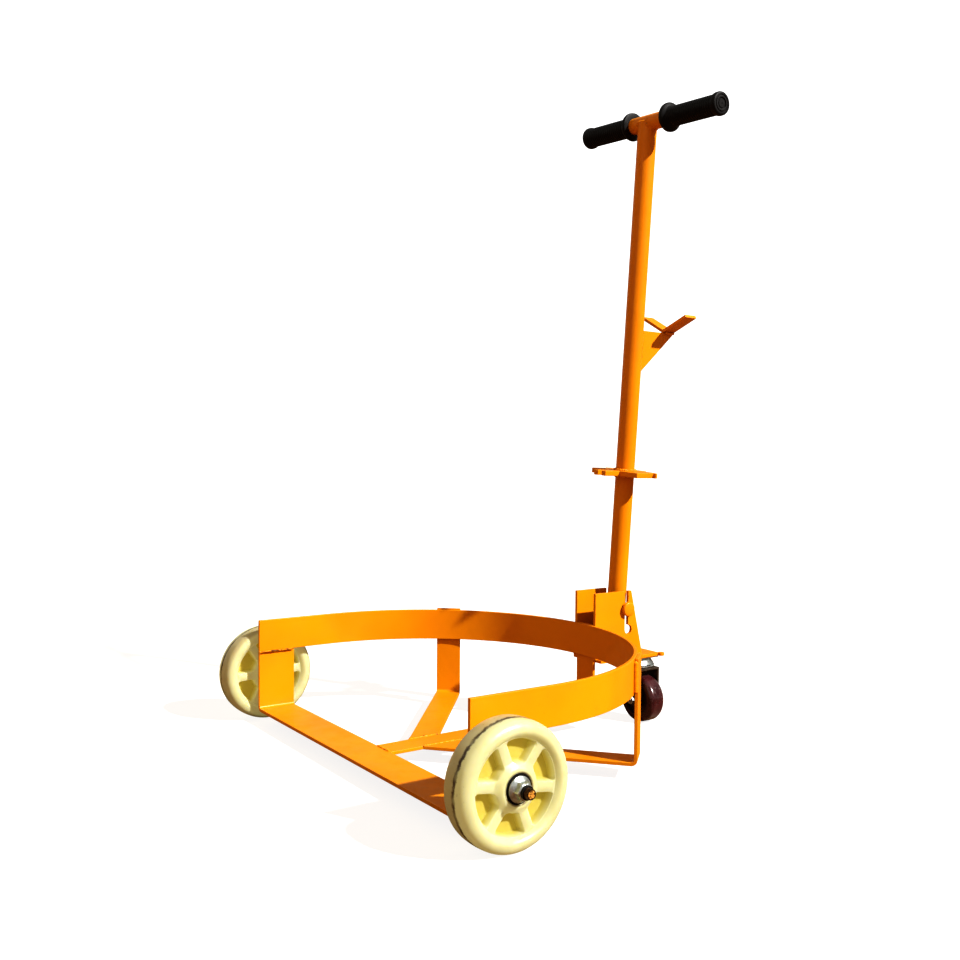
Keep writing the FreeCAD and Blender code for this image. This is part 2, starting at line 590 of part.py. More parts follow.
def pivot_washers():
    """The washers that keep the tube centred between the plates."""
    start, end = TUBE_D / 2 + WASHER_IN_GAP, BRACKET_GAP / 2 - WASHER_OUT_GAP
    return lean(both_sides(ring(PIN_D / 2 + WASHER_W, PIN_D / 2, V(start, 0, 0), X, end - start)))


def main():
    os.makedirs("parts", exist_ok=True)
    outer, inner = BEARING_OD / 2, BEARING_ID / 2
    save("ring_band", ring_band())
    save("front_crossbar", front_crossbar())
    save("spine_bar", spine_bar())
    save("caster_mount_plate", caster_mount_plate())
    for name, side in SIDES.items():
        save(f"{name}_rear_leg", rear_leg(name, side))
        save(f"{name}_bracket_plate", bracket_plate(side))
        save(f"{name}_axle_stub", side_copy(axle_stub(), side))
        save(f"{name}_wheel", side_copy(wheel(WHEEL_TURN[name]), side))
        save(f"{name}_bearing_outer_races", side_copy(bearing_races(outer, outer - RACE_T), side))
        save(f"{name}_bearing_balls", side_copy(bearing_balls(), side))
        save(f"{name}_bearing_seals", side_copy(bearing_seals(), side))
        save(f"{name}_grip", grip(side))
    save("bearing_inner_races", both_sides(bearing_races(inner + RACE_T, inner)))
    save("axle_collars", both_sides(axle_collar()))
    save("bearing_spacers", both_sides(bearing_spacer()))
    save("axle_flange_nuts", both_sides(flange_nut()))
    save("axle_nut_inserts", both_sides(nut_insert()))
    save("caster_top_plate", caster_top_plate())
    save("caster_kingpin", kingpin())
    save("caster_swivel_balls", swivel_balls())
    save("caster_fork", caster_fork())
    save("caster_axle_bolt", caster_axle_bolt())
    save("caster_axle_nut", caster_axle_nut())
    save("caster_axle_sleeve", caster_axle_sleeve())
    save("caster_wheel_core", caster_wheel_core())
    save("caster_tyre", caster_tyre())
    save("caster_wheel_bushes", caster_wheel_bushes())
    save("handle_tube", handle_tube())
    save("handle_foot_plug", foot_plug())
    save("handle_cross_tube", cross_tube())
    save("wrench_plate", wrench_plate())
    save("hook_gusset", hook_gusset())
    save("hook_fork", hook_fork())
    save("pivot_pin", pivot_pin())
    save("pivot_pin_heads", pin_heads())
    save("pivot_washers", pivot_washers())


main()
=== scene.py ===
import json
import math

import bmesh
import bpy
from mathutils import Matrix, Vector, noise


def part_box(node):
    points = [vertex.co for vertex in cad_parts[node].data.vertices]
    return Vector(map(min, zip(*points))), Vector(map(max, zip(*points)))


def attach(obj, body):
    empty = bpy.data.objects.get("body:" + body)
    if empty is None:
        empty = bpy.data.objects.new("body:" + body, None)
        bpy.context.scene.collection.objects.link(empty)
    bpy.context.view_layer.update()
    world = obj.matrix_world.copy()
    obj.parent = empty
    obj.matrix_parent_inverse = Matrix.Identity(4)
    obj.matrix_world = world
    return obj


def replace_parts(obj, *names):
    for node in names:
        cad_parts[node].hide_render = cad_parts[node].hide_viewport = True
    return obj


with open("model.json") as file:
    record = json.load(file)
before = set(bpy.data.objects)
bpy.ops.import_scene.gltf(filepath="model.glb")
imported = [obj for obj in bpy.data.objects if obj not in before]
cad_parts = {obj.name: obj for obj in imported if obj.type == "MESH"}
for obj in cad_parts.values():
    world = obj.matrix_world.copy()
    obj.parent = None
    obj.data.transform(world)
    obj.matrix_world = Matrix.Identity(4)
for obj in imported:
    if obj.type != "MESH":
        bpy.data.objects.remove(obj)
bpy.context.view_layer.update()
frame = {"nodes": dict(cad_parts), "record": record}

scene = bpy.context.scene
MM = 0.001
SIDES = {"left": -1, "right": 1}

# ---------------------------- measures taken from the frame


def local_box(node, to_local):
    """A node's lowest and highest corner in another frame."""
    points = [to_local @ v.co for v in frame["nodes"][node].data.vertices]
    low = Vector([min(p[i] for p in points) for i in range(3)])
    high = Vector([max(p[i] for p in points) for i in range(3)])
    return low, high


def width_of(node, axis):
    """A node's extent along one axis of its box: 0 is X, 1 is Y, 2 is Z."""
    low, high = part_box(node)
    return high[axis] - low[axis]


BAND_LOW, BAND_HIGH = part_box("ring_band")
PLATE_T = width_of("hook_gusset", 0)
RING_OUTER = BAND_HIGH.x
RING_INNER = RING_OUTER - PLATE_T
CROSSBAR_LOW, CROSSBAR_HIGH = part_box("front_crossbar")
MOUNT_LOW, MOUNT_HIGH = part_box("caster_mount_plate")
SPINE_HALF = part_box("spine_bar")[1].x
REAR_LEG_ANGLE = {"left": math.radians(50), "right": math.radians(48.5)}
FLOOR_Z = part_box("right_wheel")[0].z


def handle_frame():
    """The frame of the leaning handle: origin on the cross pin, Z up the tube, X to the right."""
    pin_low, pin_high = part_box("pivot_pin")
    plug_low, plug_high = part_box("handle_foot_plug")
    origin = (pin_low + pin_high) / 2
    up = (origin - (plug_low + plug_high) / 2).normalized()
    tilt = next(j for j in frame["record"]["behaviour"]["joints"] if j["name"] == "handle_tilt")
    right = -Vector(tilt["axis"]).normalized()
    rear = up.cross(right)
    turn = Matrix((right, rear, up)).transposed().to_4x4()
    return Matrix.Translation(origin) @ turn


HANDLE = handle_frame()
TO_HANDLE = HANDLE.inverted()

# ---------------------------- node materials

# the colour sockets of a Mix node, which has one set of sockets for each type of data
COLOUR_A, COLOUR_B, COLOUR_OUT = 6, 7, 2


class Tree:
    """The node tree of a material or world, emptied, with a short way to add nodes."""

    def __init__(self, block):
        block.use_nodes = True
        self.tree = block.node_tree
        self.tree.nodes.clear()

    def node(self, kind, inputs=None, **settings):
        """Add a node, change its settings and feed its inputs."""
        made = self.tree.nodes.new("ShaderNode" + kind)
        for key, value in settings.items():
            setattr(made, key, value)
        for key, value in (inputs or {}).items():
            self.feed(made.inputs[key], value)
        return made

    def feed(self, socket, value):
        """Link a socket to another node's output, or give it a plain value."""
        if isinstance(value, bpy.types.NodeSocket):
            self.tree.links.new(value, socket)
        elif isinstance(value, tuple) and len(value) == 3 and socket.type == "RGBA":
            socket.default_value = (*value, 1.0)
        else:
            socket.default_value = value


class Shader(Tree):
    """A material with one principled surface. Its methods add a node and return the node's output."""

    def __init__(self, name):
        self.material = bpy.data.materials.new(name)
        super().__init__(self.material)
        self.surface = self.node("BsdfPrincipled")
        self.node("OutputMaterial", {"Surface": self.surface.outputs[0]})
        self.place = self.node("TexCoord").outputs["Object"]

    def set(self, **inputs):
        """Feed the surface's inputs by name, with _ for a space."""
        for name, value in inputs.items():
            self.feed(self.surface.inputs[name.replace("_", " ")], value)

    def noise(self, scale, detail=3.0, rough=0.55, stretch=None):
        place = self.place
        if stretch:
            place = self.node("Mapping", {"Vector": place, "Scale": stretch}).outputs["Vector"]
        inputs = {"Vector": place, "Scale": scale, "Detail": detail, "Roughness": rough}
        return self.node("TexNoise", inputs).outputs["Fac"]

    def math(self, operation, first, second=0.0, clamp=False):
        return self.node("Math", {0: first, 1: second}, operation=operation, use_clamp=clamp).outputs[0]

    def times(self, first, second):
        return self.math("MULTIPLY", first, second)

    def span(self, value, low, high, to_low=0.0, to_high=1.0):
        """Map a value from one range to another, with soft ends."""
        inputs = {"Value": value, "From Min": low, "From Max": high, "To Min": to_low, "To Max": to_high}
        return self.node("MapRange", inputs, interpolation_type="SMOOTHSTEP").outputs["Result"]

    def mix(self, share, first, second):
        inputs = {"Factor": share, COLOUR_A: first, COLOUR_B: second}
        return self.node("Mix", inputs, data_type="RGBA").outputs[COLOUR_OUT]

    def attribute(self, name):
        return self.node("Attribute", attribute_name=name).outputs["Fac"]

    def edges(self, radius):
        """Near 1 along outside and inside edges, 0 on open faces."""
        bevel = self.node("Bevel", {"Radius": radius}, samples=6).outputs["Normal"]
        true_normal = self.node("NewGeometry").outputs["Normal"]
        dot = self.node("VectorMath", {0: bevel, 1: true_normal}, operation="DOT_PRODUCT").outputs["Value"]
        return self.span(self.math("SUBTRACT", 1.0, dot), 0.01, 0.18)

    def bump(self, height, strength, distance, base=None):
        """A bumped normal, laid over another one if a base is given."""
        inputs = {"Height": height, "Strength": strength, "Distance": distance}
        if base is not None:
            inputs["Normal"] = base
        return self.node("Bump", inputs).outputs["Normal"]

    def height(self):
        """Height above the drum's seat, in metres."""
        return self.node("SeparateXYZ", {0: self.place}).outputs["Z"]


# the paint as bounced light sees it: darker, so that it doesn't tint its neighbours too much
BOUNCED_ORANGE = (0.22, 0.10, 0.02)


def paint_material(name="orange_paint", low_darkening_extra=0.0, pits=0.0, pit_from=0.56):
    """Thick orange enamel: slight runs and orange peel, a painted highlight on the thin edges, a few chips
    and smudges.

    The amount after the name adds to the darker, browner patches low down, pits adds dark pits as found
    along welds, and pit_from sets how rare they are.
    """
    s = Shader(name)
    broad = s.noise(7.0, 2.0)
    colour = s.mix(s.span(broad, 0.35, 0.65), (0.84, 0.285, 0.002), (0.90, 0.325, 0.002))
    speck = s.noise(260.0, 2.0)
    colour = s.mix(s.span(speck, 0.62, 0.74, 0.0, 0.16), colour, (0.70, 0.21, 0.003))
    cloud = s.noise(32.0, 4.0, 0.62)
    colour = s.mix(s.span(cloud, 0.52, 0.76, 0.0, 0.22), colour, (0.78, 0.25, 0.003))
    edge = s.edges(0.0016)
    # thin edges painted a lighter peach: a painted highlight where the edges catch the light
    colour = s.mix(s.times(edge, 0.45), colour, (0.98, 0.47, 0.06))
    chips = s.times(s.span(s.noise(150.0, 4.0, 0.6), 0.60, 0.66), s.span(edge, 0.25, 0.7))
    colour = s.mix(s.times(chips, 0.75), colour, (0.17, 0.11, 0.07))
    # darker, browner patches on the parts nearest the floor
    low_darkening = s.times(s.span(s.height(), 0.02, -0.03), s.span(s.noise(60.0, 4.0), 0.42, 0.7))
    colour = s.mix(s.times(low_darkening, 0.25 + low_darkening_extra), colour, (0.42, 0.26, 0.11))
    pit = s.span(s.noise(95.0, 4.0, 0.65), pit_from, pit_from + 0.08, 0.0, pits)
    colour = s.mix(pit, colour, (0.10, 0.035, 0.008))
    streaks = s.span(s.noise(150.0, 3.0, 0.6, (1, 1, 3)), 0.70, 0.75)
    marks = s.times(s.span(s.height(), 0.025, 0.0), streaks)
    colour = s.mix(s.times(marks, 0.7), colour, (0.16, 0.07, 0.02))
    bounced = s.node("LightPath").outputs["Is Diffuse Ray"]
    colour = s.mix(s.times(bounced, 0.6), colour, BOUNCED_ORANGE)
    rough = s.span(cloud, 0.3, 0.8, 0.34, 0.52)
    rough = s.math("ADD", rough, s.times(chips, 0.2))
    peel = s.bump(s.noise(420.0, 2.0), 0.16, 0.0006)
    runs = s.bump(s.noise(38.0, 2.0), 0.25, 0.0014, peel)
    normal = s.bump(chips, -0.35, 0.0005, runs)
    s.set(Base_Color=colour, Roughness=rough, Normal=normal, Coat_Weight=0.10, Coat_Roughness=0.22,
          Specular_IOR_Level=0.24)
    return s.material


def nylon_material():
    """Cast cream nylon: painted shade and painted through-light, a deeper yellow, in the pockets, scuffs,
    and dirt in the groove round the tread.

    A faint glow, painted light, stands for the light that passes through the cast rim and lightens the
    shaded nylon; the dirt, the scuffs and the painted shade round the bearing seat take it away.
    """
    s = Shader("cream_nylon")
    broad = s.noise(22.0, 3.0)
    colour = s.mix(s.span(broad, 0.35, 0.68), (0.455, 0.45, 0.265), (0.51, 0.515, 0.325))
    # the pockets are painted a darker, deeper yellow: painted shade in the recess and painted light through
    # the thin web
    colour = s.mix(s.span(s.attribute("pocket"), 0.05, 0.9, 0.0, 0.85), colour, (0.42, 0.35, 0.05))
    tread = s.attribute("tread")
    wander = s.times(s.math("SUBTRACT", s.noise(120.0, 4.0), 0.5), 0.004)
    across = s.math("SUBTRACT", s.math("ADD", s.attribute("across"), wander), GROOVE_AT)
    inner = s.times(s.span(across, 0.001, -0.002), tread)
    grey = s.times(inner, s.span(s.noise(60.0, 3.0), 0.2, 0.8, 0.45, 0.85))
    colour = s.mix(grey, colour, (0.42, 0.33, 0.17))
    smear = s.times(s.math("SUBTRACT", s.noise(170.0, 5.0, 0.75), 0.5), 0.008)
    dirt = s.span(s.math("ADD", s.math("ABSOLUTE", across), smear), 0.0040, 0.0010)
    worn = s.span(s.noise(45.0, 3.0), 0.25, 0.6, 0.5, 1.0)
    groove = s.times(s.times(dirt, worn), tread)
    colour = s.mix(s.times(groove, 0.92), colour, (0.05, 0.026, 0.009))
    scuffs = s.times(s.span(s.noise(190.0, 5.0, 0.7), 0.63, 0.72), s.math("ADD", tread, 0.12))
    colour = s.mix(s.times(scuffs, 0.5), colour, (0.28, 0.21, 0.10))
    # a darker ring round the bearing seat: painted shade in the corner of the seat
    seat_shade = s.times(s.attribute("seat"), s.span(s.noise(130.0, 3.0), 0.3, 0.6, 0.55, 0.9))
    colour = s.mix(seat_shade, colour, (0.15, 0.10, 0.04))
    specks = s.span(s.noise(330.0, 3.0, 0.7), 0.70, 0.76)
    colour = s.mix(s.times(specks, 0.35), colour, (0.30, 0.22, 0.09))
    colour = s.mix(s.times(s.edges(0.0012), 0.25), colour, (0.92, 0.90, 0.68))
    rough = s.math("ADD", s.span(s.noise(75.0, 3.0), 0.3, 0.7, 0.33, 0.47), s.times(scuffs, 0.2))
    fine = s.bump(s.noise(520.0, 2.0), 0.10, 0.0004)
    normal = s.bump(s.noise(70.0, 3.0), 0.22, 0.0009, fine)
    # the glow is painted light: light through the thin nylon, yellower in the pockets
    warm = s.mix(s.attribute("pocket"), (0.60, 0.55, 0.24), (0.52, 0.40, 0.06))
    free_of_marks_and_seat_shade = s.math("SUBTRACT", 1.0, s.math("MAXIMUM", s.math("MAXIMUM", groove, seat_shade), scuffs))
    glow = s.times(s.math("SUBTRACT", 0.29, s.times(inner, 0.17)), free_of_marks_and_seat_shade)
    s.set(Base_Color=colour, Roughness=rough, Normal=normal, Subsurface_Weight=0.75, Subsurface_Scale=0.012,
          Subsurface_Radius=(1.0, 0.85, 0.4), Coat_Weight=0.10, Coat_Roughness=0.25,
          Emission_Color=warm, Emission_Strength=glow)
    return s.material


def zinc_material(name="zinc_plate", tint=(0.50, 0.54, 0.53), dull=0.0):
    """Bright zinc plating: fine brushing, faint spangle, darker bloom in random patches."""
    s = Shader(name)
    bloom = s.noise(65.0, 4.0, 0.6)
    dark = tuple(0.32 * c for c in tint)
    colour = s.mix(s.span(bloom, 0.40, 0.72, 0.0, 0.7), tint, dark)
    cells = s.node("TexVoronoi", {"Vector": s.place, "Scale": 420.0}).outputs["Color"]
    spangle = s.node("RGBToBW", {0: cells}).outputs[0]
    colour = s.mix(s.span(spangle, 0.2, 0.8, 0.0, 0.25), colour, (0.78, 0.80, 0.78))
    edge = s.edges(0.0008)
    colour = s.mix(s.times(edge, 0.4), colour, (0.86, 0.87, 0.86))
    rust = s.times(s.span(s.noise(240.0, 4.0, 0.65), 0.66, 0.74), s.math("ADD", edge, 0.3, clamp=True))
    colour = s.mix(s.times(rust, 0.5), colour, (0.16, 0.08, 0.035))
    rough = s.span(bloom, 0.3, 0.75, 0.24 + dull, 0.46 + dull)
    normal = s.bump(s.noise(900.0, 2.0, 0.5, (1.0, 0.15, 1.0)), 0.12, 0.0003)
    s.set(Base_Color=colour, Metallic=0.92, Roughness=rough, Normal=normal)
    return s.material


def dark_steel_material():
    """Oiled black steel of the caster's fork, with grey wear on the edges."""
    s = Shader("oiled_black_steel")
    cloud = s.noise(80.0, 4.0, 0.62)
    colour = s.mix(s.span(cloud, 0.35, 0.7), (0.038, 0.026, 0.019), (0.095, 0.068, 0.048))
    edge = s.edges(0.0010)
    colour = s.mix(s.times(edge, 0.55), colour, (0.20, 0.18, 0.16))
    dust = s.span(s.noise(210.0, 5.0, 0.7), 0.60, 0.72)
    colour = s.mix(s.times(dust, 0.30), colour, (0.16, 0.11, 0.07))
    rough = s.span(cloud, 0.3, 0.7, 0.34, 0.55)
    normal = s.bump(s.noise(350.0, 3.0), 0.15, 0.0004)
    s.set(Base_Color=colour, Metallic=0.35, Roughness=rough, Normal=normal)
    return s.material


def rubber_material(name="black_rubber", base=(0.005, 0.005, 0.0055), gloss=0.46):
    """Black moulded rubber: soft sheen, grey bloom on high spots and a trace of dust."""
    s = Shader(name)
    cloud = s.noise(55.0, 3.0)
    lighter = tuple(2.2 * c for c in base)
    colour = s.mix(s.span(cloud, 0.35, 0.7), base, lighter)
    edge = s.edges(0.0009)
    colour = s.mix(s.times(edge, 0.30), colour, (0.060, 0.060, 0.060))
    dust = s.span(s.noise(300.0, 5.0, 0.7), 0.64, 0.75)
    colour = s.mix(s.times(dust, 0.12), colour, (0.13, 0.115, 0.10))
    rough = s.span(cloud, 0.3, 0.7, gloss - 0.07, gloss + 0.10)
    normal = s.bump(s.noise(800.0, 2.0), 0.18, 0.0003)
    s.set(Base_Color=colour, Roughness=rough, Normal=normal, Specular_IOR_Level=0.22)
    return s.material


def polyurethane_material():
    """Dark maroon cast polyurethane: glossy and slightly clear, with a dusty worn tread."""
    s = Shader("maroon_polyurethane")
    cloud = s.noise(48.0, 3.0)
    colour = s.mix(s.span(cloud, 0.35, 0.7), (0.040, 0.006, 0.008), (0.075, 0.013, 0.017))
    dust = s.span(s.noise(170.0, 5.0, 0.7), 0.52, 0.74)
    colour = s.mix(s.times(dust, 0.22), colour, (0.30, 0.22, 0.20))
    rough = s.math("ADD", s.span(cloud, 0.3, 0.7, 0.20, 0.32), s.times(dust, 0.18))
    normal = s.bump(s.noise(420.0, 3.0), 0.12, 0.0004)
    s.set(Base_Color=colour, Roughness=rough, Normal=normal, Subsurface_Weight=0.12, Subsurface_Scale=0.003,
          Subsurface_Radius=(1.0, 0.3, 0.25), Coat_Weight=0.35, Coat_Roughness=0.16,
          Sheen_Weight=0.35, Sheen_Roughness=0.35, Sheen_Tint=(0.9, 0.72, 0.70))
    return s.material


def iron_material():
    """Cast centre of the caster wheel: dark red-brown paint over a slightly rough casting."""
    s = Shader("caster_centre")
    cloud = s.noise(70.0, 4.0)
    colour = s.mix(s.span(cloud, 0.35, 0.7), (0.035, 0.010, 0.009), (0.070, 0.024, 0.020))
    edge = s.edges(0.0010)
    colour = s.mix(s.times(edge, 0.5), colour, (0.16, 0.10, 0.09))
    normal = s.bump(s.noise(300.0, 4.0, 0.65), 0.4, 0.0007)
    s.set(Base_Color=colour, Roughness=s.span(cloud, 0.3, 0.7, 0.42, 0.6), Normal=normal, Metallic=0.1)
    return s.material


def axle_end_material():
    """A blackened thread whose flat end has been dabbed with the frame's paint."""
    s = Shader("painted_axle_end")
    cloud = s.noise(260.0, 4.0, 0.65)
    steel = s.mix(s.span(cloud, 0.35, 0.7), (0.030, 0.013, 0.006), (0.15, 0.085, 0.045))
    paint = s.mix(s.span(s.noise(420.0, 3.0), 0.35, 0.65), (0.42, 0.17, 0.02), (0.85, 0.46, 0.10))
    dab = s.times(s.attribute("dab"), s.span(s.noise(430.0, 3.0), 0.38, 0.50))
    colour = s.mix(dab, steel, paint)
    metal = s.span(dab, 0.0, 1.0, 0.75, 0.05)
    normal = s.bump(s.noise(600.0, 4.0, 0.7), 0.5, 0.0006)
    s.set(Base_Color=colour, Roughness=s.span(cloud, 0.3, 0.7, 0.35, 0.5), Metallic=metal, Normal=normal)
    return s.material


PAINT = paint_material()
BEAD_PAINT = paint_material("orange_paint_on_welds", 0.15, 0.9)
SEAM_PAINT = paint_material("orange_paint_on_seam", 0.15, 0.95, 0.47)
ZINC = zinc_material()
BEARING_STEEL = zinc_material("bearing_steel", (0.50, 0.50, 0.50), -0.05)
BLACK_STEEL = dark_steel_material()
RUBBER = rubber_material()
SEAL_RUBBER = rubber_material("seal_rubber", (0.008, 0.008, 0.008), 0.40)
POLYURETHANE = polyurethane_material()
CASTER_CENTRE = iron_material()
AXLE_END = axle_end_material()
BUSH_NYLON = rubber_material("grey_bush_nylon", (0.16, 0.15, 0.13), 0.42)

# ---------------------------- mesh helpers

SMOOTH_BELOW = math.radians(38)


def add_piece(name, mesh, material, body, attributes=None):
    """Make an object from a bmesh, smooth it by angle, and let it ride on a body."""
    bmesh.ops.recalc_face_normals(mesh, faces=mesh.faces)
    data = bpy.data.meshes.new(name)
    for face in mesh.faces:
        face.smooth = True
    mesh.to_mesh(data)
    mesh.free()
    data.set_sharp_from_angle(angle=SMOOTH_BELOW)
    data.materials.append(material)
    for key, values in (attributes or {}).items():
        data.attributes.new(key, "FLOAT", "POINT").data.foreach_set("value", values)
    piece = bpy.data.objects.new(name, data)
    scene.collection.objects.link(piece)
    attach(piece, body)
    return piece


def skin_rings(mesh, rings, close_rings=False):
    """Join rings of points with quads, and close the ends. Rings are closed loops of equal length."""
    rows = [[mesh.verts.new(p) for p in ring] for ring in rings]
    count = len(rows[0])
    pairs = list(zip(rows, rows[1:]))
    if close_rings:
        pairs.append((rows[-1], rows[0]))
    for low, high in pairs:
        for i in range(count):
            j = (i + 1) % count
            mesh.faces.new((low[i], low[j], high[j], high[i]))
    if not close_rings:
        mesh.faces.new(rows[0][::-1])
        mesh.faces.new(rows[-1])


def round_turn(count):
    """Angles at equal steps round a full turn."""
    return [2 * math.pi * i / count for i in range(count)]


def ring_about_x(place, along, radius, segments):
    """A ring of points about the X axis of a placing matrix."""
    return [place @ Vector((along, radius * math.cos(a), radius * math.sin(a)))
            for a in round_turn(segments)]


def skin_turned(mesh, profile, place, segments=96):
    """Turn a closed profile of (along, radius) points about the X axis of a placing matrix."""
    rings = [ring_about_x(place, along, radius, segments) for along, radius in profile]
    skin_rings(mesh, rings, close_rings=True)


def mirrored(sign):
    """A matrix that turns the right side's shape into the left side's, for a sign of -1."""
    return Matrix.Diagonal((sign, 1, 1, 1))


def smooth_step(value, low, high):
    """0 below low, 1 above high, and a soft rise between them."""
    t = min(1.0, max(0.0, (value - low) / (high - low)))
    return t * t * (3 - 2 * t)


# ---------------------------- weld bead helpers

BEAD_STEP, BEAD_SIDES = 0.7 * MM, 10
RIPPLE, RIPPLE_SHARE = 2.6 * MM, 0.13
LUMP_RATE, LUMP_SHARE = 190, 0.34
WANDER_RATE, WANDER_SHARE = 120, 0.16
BEAD_END, BEAD_END_SHARE = 2.2 * MM, 0.35
STEEP = 0.9


def dense_path(path, closed):
    """Points along a path, about one bead step apart."""
    points = path + path[:1] if closed else path
    dense = []
    for start, end in zip(points, points[1:]):
        count = max(1, round((end - start).length / BEAD_STEP))
        dense += [start.lerp(end, i / count) for i in range(count)]
    if not closed:
        dense.append(points[-1])
    return dense


def across_path(along):
    """Two directions across a path. The first is level, unless the path is steep."""
    if abs(along.z) > STEEP:
        side = along.orthogonal().normalized()
    else:
        side = along.cross(Vector((0, 0, 1))).normalized()
    return side, side.cross(along)


def bead_rings(path, radius, seed, closed, lumpy):
    """Rings of a weld bead laid along a path, with the stacked ripples and lumps of a hand weld."""
    dense = dense_path(path, closed)
    rings, travelled = [], 0.0
    count = len(dense)
    for i, point in enumerate(dense):
        before = dense[(i - 1) % count] if closed or i else dense[0]
        after = dense[(i + 1) % count] if closed or i < count - 1 else dense[-1]
        side, up = across_path((after - before).normalized())
        ripple = RIPPLE_SHARE * math.sin(2 * math.pi * travelled / RIPPLE)
        lump = LUMP_SHARE * noise.noise(point * LUMP_RATE + Vector((seed, 0, 0)))
        r = radius * (1 + lumpy * (ripple + lump))
        if not closed:
            from_end = min(i, count - 1 - i) * BEAD_STEP
            r *= BEAD_END_SHARE + (1 - BEAD_END_SHARE) * smooth_step(from_end, 0, BEAD_END)
        drift = noise.noise(point * WANDER_RATE + Vector((0, seed, 0)))
        centre = point + (side + up) * (WANDER_SHARE * lumpy * radius * drift)
        rings.append([centre + (side * math.cos(a) + up * math.sin(a)) * r for a in round_turn(BEAD_SIDES)])
        travelled += BEAD_STEP
    return rings


def add_beads(name, paths, radius, body="frame", lumpy=1.0, material=None):
    """One object of weld beads. A path is a list of points, and whether it is closed."""
    mesh = bmesh.new()
    for index, (path, closed) in enumerate(paths):
        seed = 3.7 * index + len(name)
        skin_rings(mesh, bead_rings(path, radius, seed, closed, lumpy), close_rings=closed)
    add_piece(name, mesh, material or BEAD_PAINT, body)


def line(start, end):
    """An open path from one point to another."""
    return [Vector(start), Vector(end)], False


def circle(centre, radius, axis):
    """A closed path round an axis."""
    side = axis.orthogonal().normalized()
    up = axis.cross(side)
    return [centre + (side * math.cos(a) + up * math.sin(a)) * radius for a in round_turn(48)], True


# ---------------------------- wheels

WHEEL_LOW, WHEEL_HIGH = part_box("right_wheel")
WHEEL_HALF = (WHEEL_HIGH.x - WHEEL_LOW.x) / 2
WHEEL_R = (WHEEL_HIGH.z - WHEEL_LOW.z) / 2
AXLE_Y = (WHEEL_LOW.y + WHEEL_HIGH.y) / 2
AXLE_Z = (WHEEL_LOW.z + WHEEL_HIGH.z) / 2
WHEEL_MID_X = (WHEEL_LOW.x + WHEEL_HIGH.x) / 2
BEARING_SEAT_R = width_of("right_bearing_outer_races", 2) / 2
BORE_R = BEARING_SEAT_R - 6 * MM
SEAT_DEPTH, SEAT_CHAMFER, SEAT_EASE = 12 * MM, 0.8 * MM, 0.25 * MM
TREAD_CROWN_R, TREAD_HALF, TREAD_STEPS = 110 * MM, 12 * MM, 12
SHOULDER_STEPS = 10
SPOKE_FACE, WEB_HALF = 17 * MM, 4.5 * MM
HUB_TOP_R, HUB_FOOT_R = 20.5 * MM, 31.0 * MM
POCKET_IN, POCKET_OUT, POCKET_CORNER = 28 * MM, 54 * MM, 3.4 * MM
WALL_FROM, WALL_TO = -0.6 * MM, 1.7 * MM
SPOKE_SIDE, SPOKE_CROWN = 6.5 * MM, 1.3 * MM
SPOKES = 6
SECTOR = 2 * math.pi / SPOKES
WHEEL_TURN = {"left": math.radians(3), "right": math.radians(-9)}
GROOVE_AT, GROOVE_HALF, GROOVE_FLAT, GROOVE_DEPTH = 4.6 * MM, 1.2 * MM, 0.2 * MM, 0.6 * MM
# how far the mesh columns lie from a spoke's middle, in mm: they crowd at its side wall
COLUMN_OFFSETS = (0.0, 2.2, 4.0, 5.0, 5.5, 5.9, 6.2, 6.5, 6.8, 7.1, 7.5, 8.0, 8.6, 9.5)
POCKET_COLUMNS = 6
FINE_STEP, COARSE_STEP = 0.35 * MM, 1.1 * MM
NYLON = nylon_material()


def wheel_shoulder():
    """The rim's crest radius, the shoulder's own radius, and the angle where the tread's crown meets it."""
    turn = math.asin(TREAD_HALF / TREAD_CROWN_R)
    tread_end = WHEEL_R - TREAD_CROWN_R * (1 - math.cos(turn))
    shoulder = (WHEEL_HALF - TREAD_HALF) / (1 - math.sin(turn))
    return tread_end - shoulder * math.cos(turn), shoulder, turn


def face_height(radius, crest):
    """Distance of the wheel's face from its middle plane, before the pockets."""
    hub = 1 - smooth_step(radius, HUB_TOP_R, HUB_FOOT_R)
    rise = min(1.0, max(0.0, (radius - POCKET_OUT - MM) / (crest - POCKET_OUT - MM)))
    rim = 1 - (1 - rise) ** 2
    return SPOKE_FACE + (WHEEL_HALF - SPOKE_FACE) * max(hub, rim)


def pocket_depth(radius, angle):
    """How far into a pocket a point lies: 0 on spokes and rim, 1 on the web."""
    half = SECTOR / 2
    from_pocket = (angle % SECTOR) - half
    u, v = radius * math.cos(from_pocket), radius * math.sin(from_pocket)
    gaps = [u * math.sin(half) - v * math.cos(half) - SPOKE_SIDE,
            u * math.sin(half) + v * math.cos(half) - SPOKE_SIDE,
            radius - POCKET_IN, POCKET_OUT - radius]
    pressed = math.sqrt(sum(max(0.0, POCKET_CORNER - g) ** 2 for g in gaps))
    return smooth_step(POCKET_CORNER - pressed, WALL_FROM, WALL_TO)


def spoke_drop(radius, angle):
    """How much lower a spoke's rounded top is towards its sides."""
    from_spoke = (angle + SECTOR / 2) % SECTOR - SECTOR / 2
    share = min(1.0, radius * abs(math.sin(from_spoke)) / SPOKE_SIDE)
    past_hub = smooth_step(radius, POCKET_IN, POCKET_IN + 6 * MM)
    before_rim = smooth_step(-radius, -POCKET_OUT, 5 * MM - POCKET_OUT)
    return SPOKE_CROWN * share ** 2 * (past_hub * before_rim)


